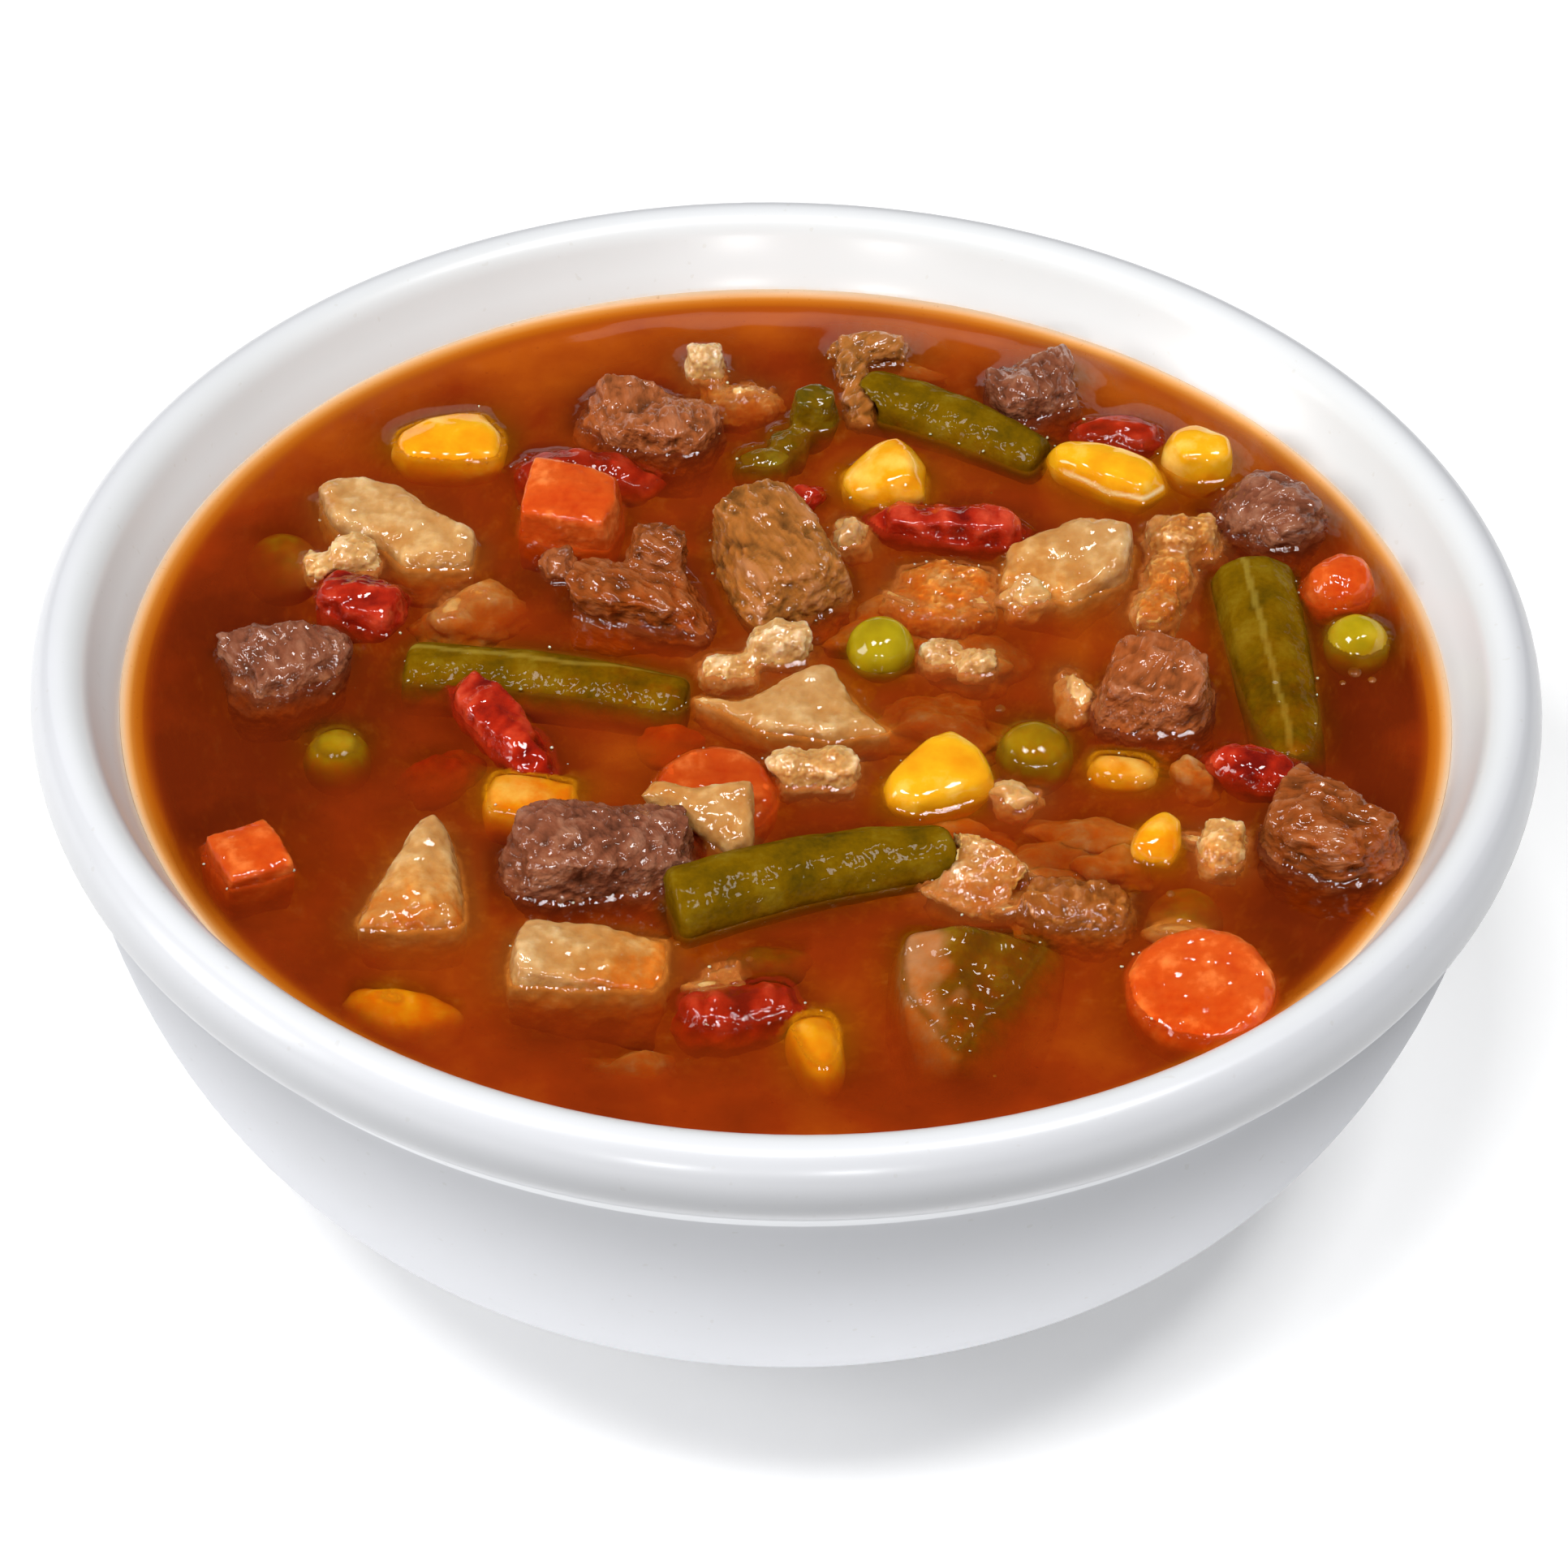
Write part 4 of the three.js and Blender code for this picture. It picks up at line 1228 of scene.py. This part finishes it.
# Small things that are too small or too deep to be solids: kind, place x and y, size, rise of the
# top above the broth, and turn. Millimetres and degrees.
SMALL_BITS = [
    ("grain", 40.8, -36.0, (7.8, 3.0, 2.6), 0.3, -4),
    ("onion", 26.1, 17.0, (6.5, 5.0, 4.5), 2.4, 30),
    ("onion", 24.3, -16.8, (5.0, 3.8, 4.0), 2.0, 0),
    ("onion", 31.0, 0.6, (4.6, 6.4, 5.0), 1.8, 0),
    ("onion", -6.3, -45.4, (5.6, 4.0, 3.5), 0.8, 10),
    ("onion", 31.5, -19.5, (11.0, 6.0, 4.0), -0.5, -8),
    ("onion", 27.5, -23.5, (13.0, 6.0, 4.0), -0.9, 5),
    ("onion", 34.5, -24.2, (7.0, 5.0, 4.0), -0.6, 0),
    ("onion", 27.5, -30.5, (10.0, 6.0, 4.0), -0.5, 20),
    ("onion", 6.8, 26.0, (4.0, 4.5, 5.0), 3.0, 0),
    ("onion", 16.5, -1.0, (14.0, 9.0, 5.0), -0.9, 0),
    ("onion", 43.5, -10.5, (5.0, 5.0, 4.0), 0.0, 0),
    ("onion", -34.1, 13.0, (12.0, 9.0, 5.0), 0.3, 20),
    ("onion", -14.7, -56.0, (9.0, 5.0, 4.0), -0.6, 0),
    ("onion", 11.0, 60.0, (10.0, 4.0, 4.0), -0.6, -10),
    ("onion", 24.0, -27.5, (15.0, 11.0, 6.0), -0.9, 15),
    ("onion", 19.0, -20.5, (11.0, 9.0, 6.0), -1.3, 0),
    ("onion", 12.0, 14.5, (16.0, 9.0, 6.0), -0.8, 25),
    ("onion", 20.0, 9.0, (11.0, 8.0, 5.0), -1.2, 0),
    ("onion", 24.2, -28.2, (3.6, 1.1, 1.6), 0.9, -25),
    ("onion", 21.0, 15.0, (2.6, 1.4, 1.8), 0.9, -25),
    ("onion", 42.6, -22.6, (3.2, 1.3, 1.8), 1.0, -25),
    ("onion", 12.3, 15.4, (4.8, 1.0, 1.8), 0.9, -28),
    ("onion", 23.0, -33.8, (3.4, 1.1, 1.6), 0.8, 12),
    ("beef", -25.2, 19.0, (4.4, 4.0, 4.0), 3.0, 0),
    ("tomato", 1.4, 31.0, (4.5, 3.0, 3.0), 3.2, 30),
    ("tomato", -36.5, -12.0, (10.0, 6.0, 5.0), -0.5, 40),
    ("corn", -37.7, -49.6, (13.0, 7.0, 5.5), 0.1, -12),
    ("carrot", -12.5, -6.0, (7.0, 6.0, 4.0), -0.8, 20),
    ("pea", -55.9, 23.9, (8.4, 8.4, 8.0), -0.9, 0),
    ("pea", 41.8, -30.0, (8.0, 8.0, 7.6), -0.9, 0),
    ("bean", -1.1, -40.5, (9.0, 5.0, 4.0), -0.3, 5),
]


def bit_mesh(mesh, place, size, rise, turn, seed, roughness):
    """Adds one small rounded lump to a bmesh."""
    made = bmesh.ops.create_icosphere(mesh, subdivisions=4, radius=0.5 * MM)["verts"]
    swing = Euler((0, 0, math.radians(turn))).to_matrix()
    shift = Vector((seed, seed * 2.1, seed * 0.7))
    for vert in made:
        direction = vert.co.normalized()
        swell = noise.noise(direction * 1.1 + shift) + 0.35 * noise.noise(direction * 3.2 + shift)
        swell = 1 + roughness * swell
        vert.co = swing @ Vector([direction[i] * 0.5 * size[i] * MM * swell for i in range(3)])
    top = max(v.co.z for v in made)
    for vert in made:
        vert.co += Vector((place[0] * MM, place[1] * MM, LEVEL + rise * MM - top))


class SOUP_OT_small_bits(bpy.types.Operator):
    """Make the small and the sunk bits of vegetable"""

    bl_idname = "soup.small_bits"
    bl_label = "Small bits"

    def execute(self, context):
        finishes = {
            "grain": ("boiled_potato", "potato", 0.12),
            "onion": ("cooked_onion", "onion", 0.6),
            "beef": ("cooked_beef_1", "beef", 0.5),
            "tomato": ("stewed_tomato", "tomato", 0.5),
            "corn": ("sweetcorn_skin", "corn", 0.2),
            "carrot": ("boiled_carrot", "carrot", 0.3),
            "pea": ("pea_skin", "pea", 0.05),
            "bean": ("green_bean_skin", "green_bean", 0.2),
        }
        for kind, (material, slot, roughness) in finishes.items():
            mesh = bmesh.new()
            for seed, (bit, x, y, size, rise, turn) in enumerate(SMALL_BITS):
                if bit == kind:
                    bit_mesh(mesh, (x, y), size, rise, turn, seed, roughness)
            relief = mesh.verts.layers.float.new("relief")
            for vert in mesh.verts:
                vert[relief] = 0.6 + 0.4 * noise.noise(vert.co / (1.5 * MM))
            with_sunk(mesh)
            pair = [bpy.data.materials[material], bpy.data.materials[material + "_sunk"]]
            finished(mesh, f"small_bits_of_{kind}", pair, slot=slot)
        return {"FINISHED"}


# Beads of fat and bubbles seen on the broth: x, y and width in millimetres.
BEADS = [
    (61.0, 5.6, 1.6), (62.8, 4.4, 1.0), (59.6, 3.8, 0.8), (22.8, -2.0, 1.2), (17.0, -24.5, 1.0),
    (-3.0, -42.0, 0.9), (-10.4, -40.0, 0.8), (31.0, 0.2, 1.1), (40.0, -30.5, 1.0), (-30.0, 30.0, 0.8),
]


# The scattered beads lie this near to the middle, in millimetres.
BEADS_WITHIN = 66

# Pale crumbs at the waterlines, partly crumbs and partly painted glints.
CRUMBS = 220
SPECKS = 170


class SOUP_OT_droplets(bpy.types.Operator):
    """Make the beads of fat and the specks at the wall"""

    bl_idname = "soup.droplets"
    bl_label = "Beads and specks"

    def execute(self, context):
        beads = bmesh.new()
        draw = random.Random(7)
        ranges = ((-BEADS_WITHIN, BEADS_WITHIN), (-BEADS_WITHIN, BEADS_WITHIN), (0.2, 0.5))
        scattered = [tuple(draw.uniform(*between) for between in ranges) for _ in range(25)]
        scattered = [bead for bead in scattered if math.hypot(bead[0], bead[1]) < BEADS_WITHIN]
        for x, y, width in BEADS + scattered:
            size = Vector((width, width, 0.5 * width)) * MM
            place = Matrix.Translation((x * MM, y * MM, LEVEL)) @ Matrix.Diagonal((*size, 1))
            bmesh.ops.create_uvsphere(beads, u_segments=12, v_segments=8, radius=0.5, matrix=place)
        finished(beads, "beads_of_fat", [fat_droplet()], slot="broth")
        self.crumbs(draw)
        specks = bmesh.new()
        for _ in range(SPECKS):
            turn, depth = draw.uniform(0, 2 * math.pi), draw.uniform(-0.3, 2.2)
            size = draw.uniform(0.12, 0.28) * MM
            radius = (WALL_INNER_RADIUS - 0.05 - max(0.0, draw.gauss(0, 1.2)) * (depth < 0.8)) * MM
            height = LEVEL + (0.1 if radius < (WALL_INNER_RADIUS - 0.6) * MM else max(0.1, depth * 0.35)) * MM
            place = Matrix.Translation((radius * math.cos(turn), radius * math.sin(turn), height))
            flat = Matrix.Diagonal((size, size, size * 0.6, 1))
            bmesh.ops.create_icosphere(specks, subdivisions=1, radius=0.5, matrix=place @ flat)
        finished(specks, "specks_of_pepper", [spice_speck()], slot="broth")
        return {"FINISHED"}

    @staticmethod
    def crumbs(draw):
        """Pale crumbs of vegetable that have gathered where the broth meets the pieces; in their lightest
        tone they also stand in for glints there, as painted highlights.
        """
        mesh = bmesh.new()
        shores = waterlines()
        for _ in range(CRUMBS):
            shore = draw.choice(shores)[0]
            away = abs(draw.gauss(0, 0.8)) * MM
            turn = draw.uniform(0, 2 * math.pi)
            width = draw.uniform(0.2, 0.5) * MM
            height = LEVEL + (0.1 + 0.8 * math.exp(-away / MM / 1.25)) * MM
            place = (shore.x + away * math.cos(turn), shore.y + away * math.sin(turn), height)
            turned = Matrix.Translation(place) @ Matrix.Rotation(turn, 4, "Z")
            shape = Matrix.Diagonal((width, width * draw.uniform(0.5, 1), width * 0.6, 1))
            bmesh.ops.create_icosphere(mesh, subdivisions=1, radius=0.5, matrix=turned @ shape)
        # A relief of 1 gives the crumbs the lightest tone, as painted highlights.
        for name in ("relief", "sunk"):
            layer = mesh.verts.layers.float.new(name)
            for vert in mesh.verts:
                vert[layer] = 1.0 if name == "relief" else 0.3 / SUNK_SPAN
        finished(mesh, "crumbs_of_vegetable", [bpy.data.materials["cooked_onion"]], slot="onion")


# The stage

# The soft lights: name, place and width in millimetres, and power in watts.
LIGHTS = [
    ("key_softbox", (-430, -230, 900), 240, 4.8),
    ("fill_softbox", (360, -160, 1000), 260, 5.3),
    ("front_softbox", (-30, -330, 1040), 160, 2.9),
    ("left_softbox", (-760, -160, 300), 300, 2.5),
    ("front_left_glint", (-160, -640, 250), 80, 0.5),
    ("front_right_glint", (110, -660, 270), 80, 0.5),
]


class SOUP_OT_stage(bpy.types.Operator):
    """Set up the floor, the lights and the camera"""

    bl_idname = "soup.stage"
    bl_label = "Stage"

    def execute(self, context):
        self.floor()
        for name, place, width, power in LIGHTS:
            self.light(name, Vector(place) * MM, width * MM, power)
        world = bpy.data.worlds.new("studio")
        world.use_nodes = True
        background = world.node_tree.nodes["Background"]
        background.inputs["Color"].default_value = (0.93, 0.96, 1.0, 1)
        background.inputs["Strength"].default_value = 0.05
        context.scene.world = world
        self.camera(context)
        context.scene.view_settings.view_transform = "Standard"
        return {"FINISHED"}

    @staticmethod
    def floor():
        """The pale, matt floor, six metres square."""
        mesh = bmesh.new()
        bmesh.ops.create_grid(mesh, x_segments=2, y_segments=2, size=3.0)
        data = bpy.data.meshes.new("floor")
        mesh.to_mesh(data)
        mesh.free()
        material, tree = new_material("painted_floor")
        cloud = grain_of(tree, 60.0, detail=2)
        base = list(colours().floor)
        tone = ramp(tree, cloud, [(0.3, mixed(base, (0.9, 0.9, 0.9), 0.3)), (0.7, base)])
        shader = add(tree, "ShaderNodeBsdfPrincipled", {
            "Base Color": tone, "Roughness": 0.8, "Emission Color": (1, 1, 1, 1), "Emission Strength": 0.16,
        })
        add(tree, "ShaderNodeOutputMaterial", {"Surface": shader.outputs["BSDF"]})
        data.materials.append(material)
        floor = bpy.data.objects.new("floor", data)
        bpy.context.scene.collection.objects.link(floor)
        floor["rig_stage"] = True

    @staticmethod
    def light(name, place, width, power):
        """A square soft light that faces the bowl."""
        lamp = bpy.data.lights.new(name, "AREA")
        lamp.size = width
        lamp.energy = power
        light = bpy.data.objects.new(name, lamp)
        light.location = place
        light.rotation_euler = (Vector((0, 0, HEIGHT)) - place).to_track_quat("-Z", "Y").to_euler()
        bpy.context.scene.collection.objects.link(light)

    @staticmethod
    def camera(context):
        """The camera at the photograph's angle."""
        lens = bpy.data.cameras.new("camera")
        lens.lens = CAMERA_LENS
        lens.sensor_width = SENSOR_WIDTH
        lens.clip_start = 0.01
        camera = bpy.data.objects.new("camera", lens)
        tilt = Matrix.Rotation(math.radians(90 - CAMERA_DOWN), 4, "X")
        roll = Matrix.Rotation(math.radians(CAMERA_ROLL), 4, "Z")
        camera.matrix_world = Matrix.Translation(CAMERA_PLACE) @ tilt @ roll
        context.scene.collection.objects.link(camera)
        context.scene.camera = camera


OPERATORS = [
    SOUP_OT_bowl, SOUP_OT_beef, SOUP_OT_stewed_beef, SOUP_OT_carrot, SOUP_OT_potato, SOUP_OT_corn,
    SOUP_OT_peas, SOUP_OT_beans, SOUP_OT_pepper, SOUP_OT_tomato, SOUP_OT_onion, SOUP_OT_small_bits,
    SOUP_OT_broth, SOUP_OT_droplets, SOUP_OT_stage,
]


class SOUP_PT_panel(bpy.types.Panel):
    """Lists the pieces of the soup"""

    bl_idname = "SOUP_PT_panel"
    bl_label = "Bowl of Beef Soup"
    bl_space_type = "VIEW_3D"
    bl_region_type = "UI"
    bl_category = "Soup"

    def draw(self, context):
        for group in (context.scene.soup_sizes, context.scene.soup_colours):
            for name in group.__annotations__:
                self.layout.prop(group, name)
        for operator in OPERATORS:
            self.layout.operator(operator.bl_idname)


CLASSES = [SoupSizes, SoupColours, *OPERATORS, SOUP_PT_panel]


def register():
    for cls in CLASSES:
        bpy.utils.register_class(cls)
    bpy.types.Scene.soup_sizes = bpy.props.PointerProperty(type=SoupSizes)
    bpy.types.Scene.soup_colours = bpy.props.PointerProperty(type=SoupColours)


def unregister():
    del bpy.types.Scene.soup_sizes
    del bpy.types.Scene.soup_colours
    for cls in reversed(CLASSES):
        bpy.utils.unregister_class(cls)


def main():
    register()
    for operator in OPERATORS:
        family, name = operator.bl_idname.split(".")
        getattr(getattr(bpy.ops, family), name)()


if __name__ == "__main__":
    main()
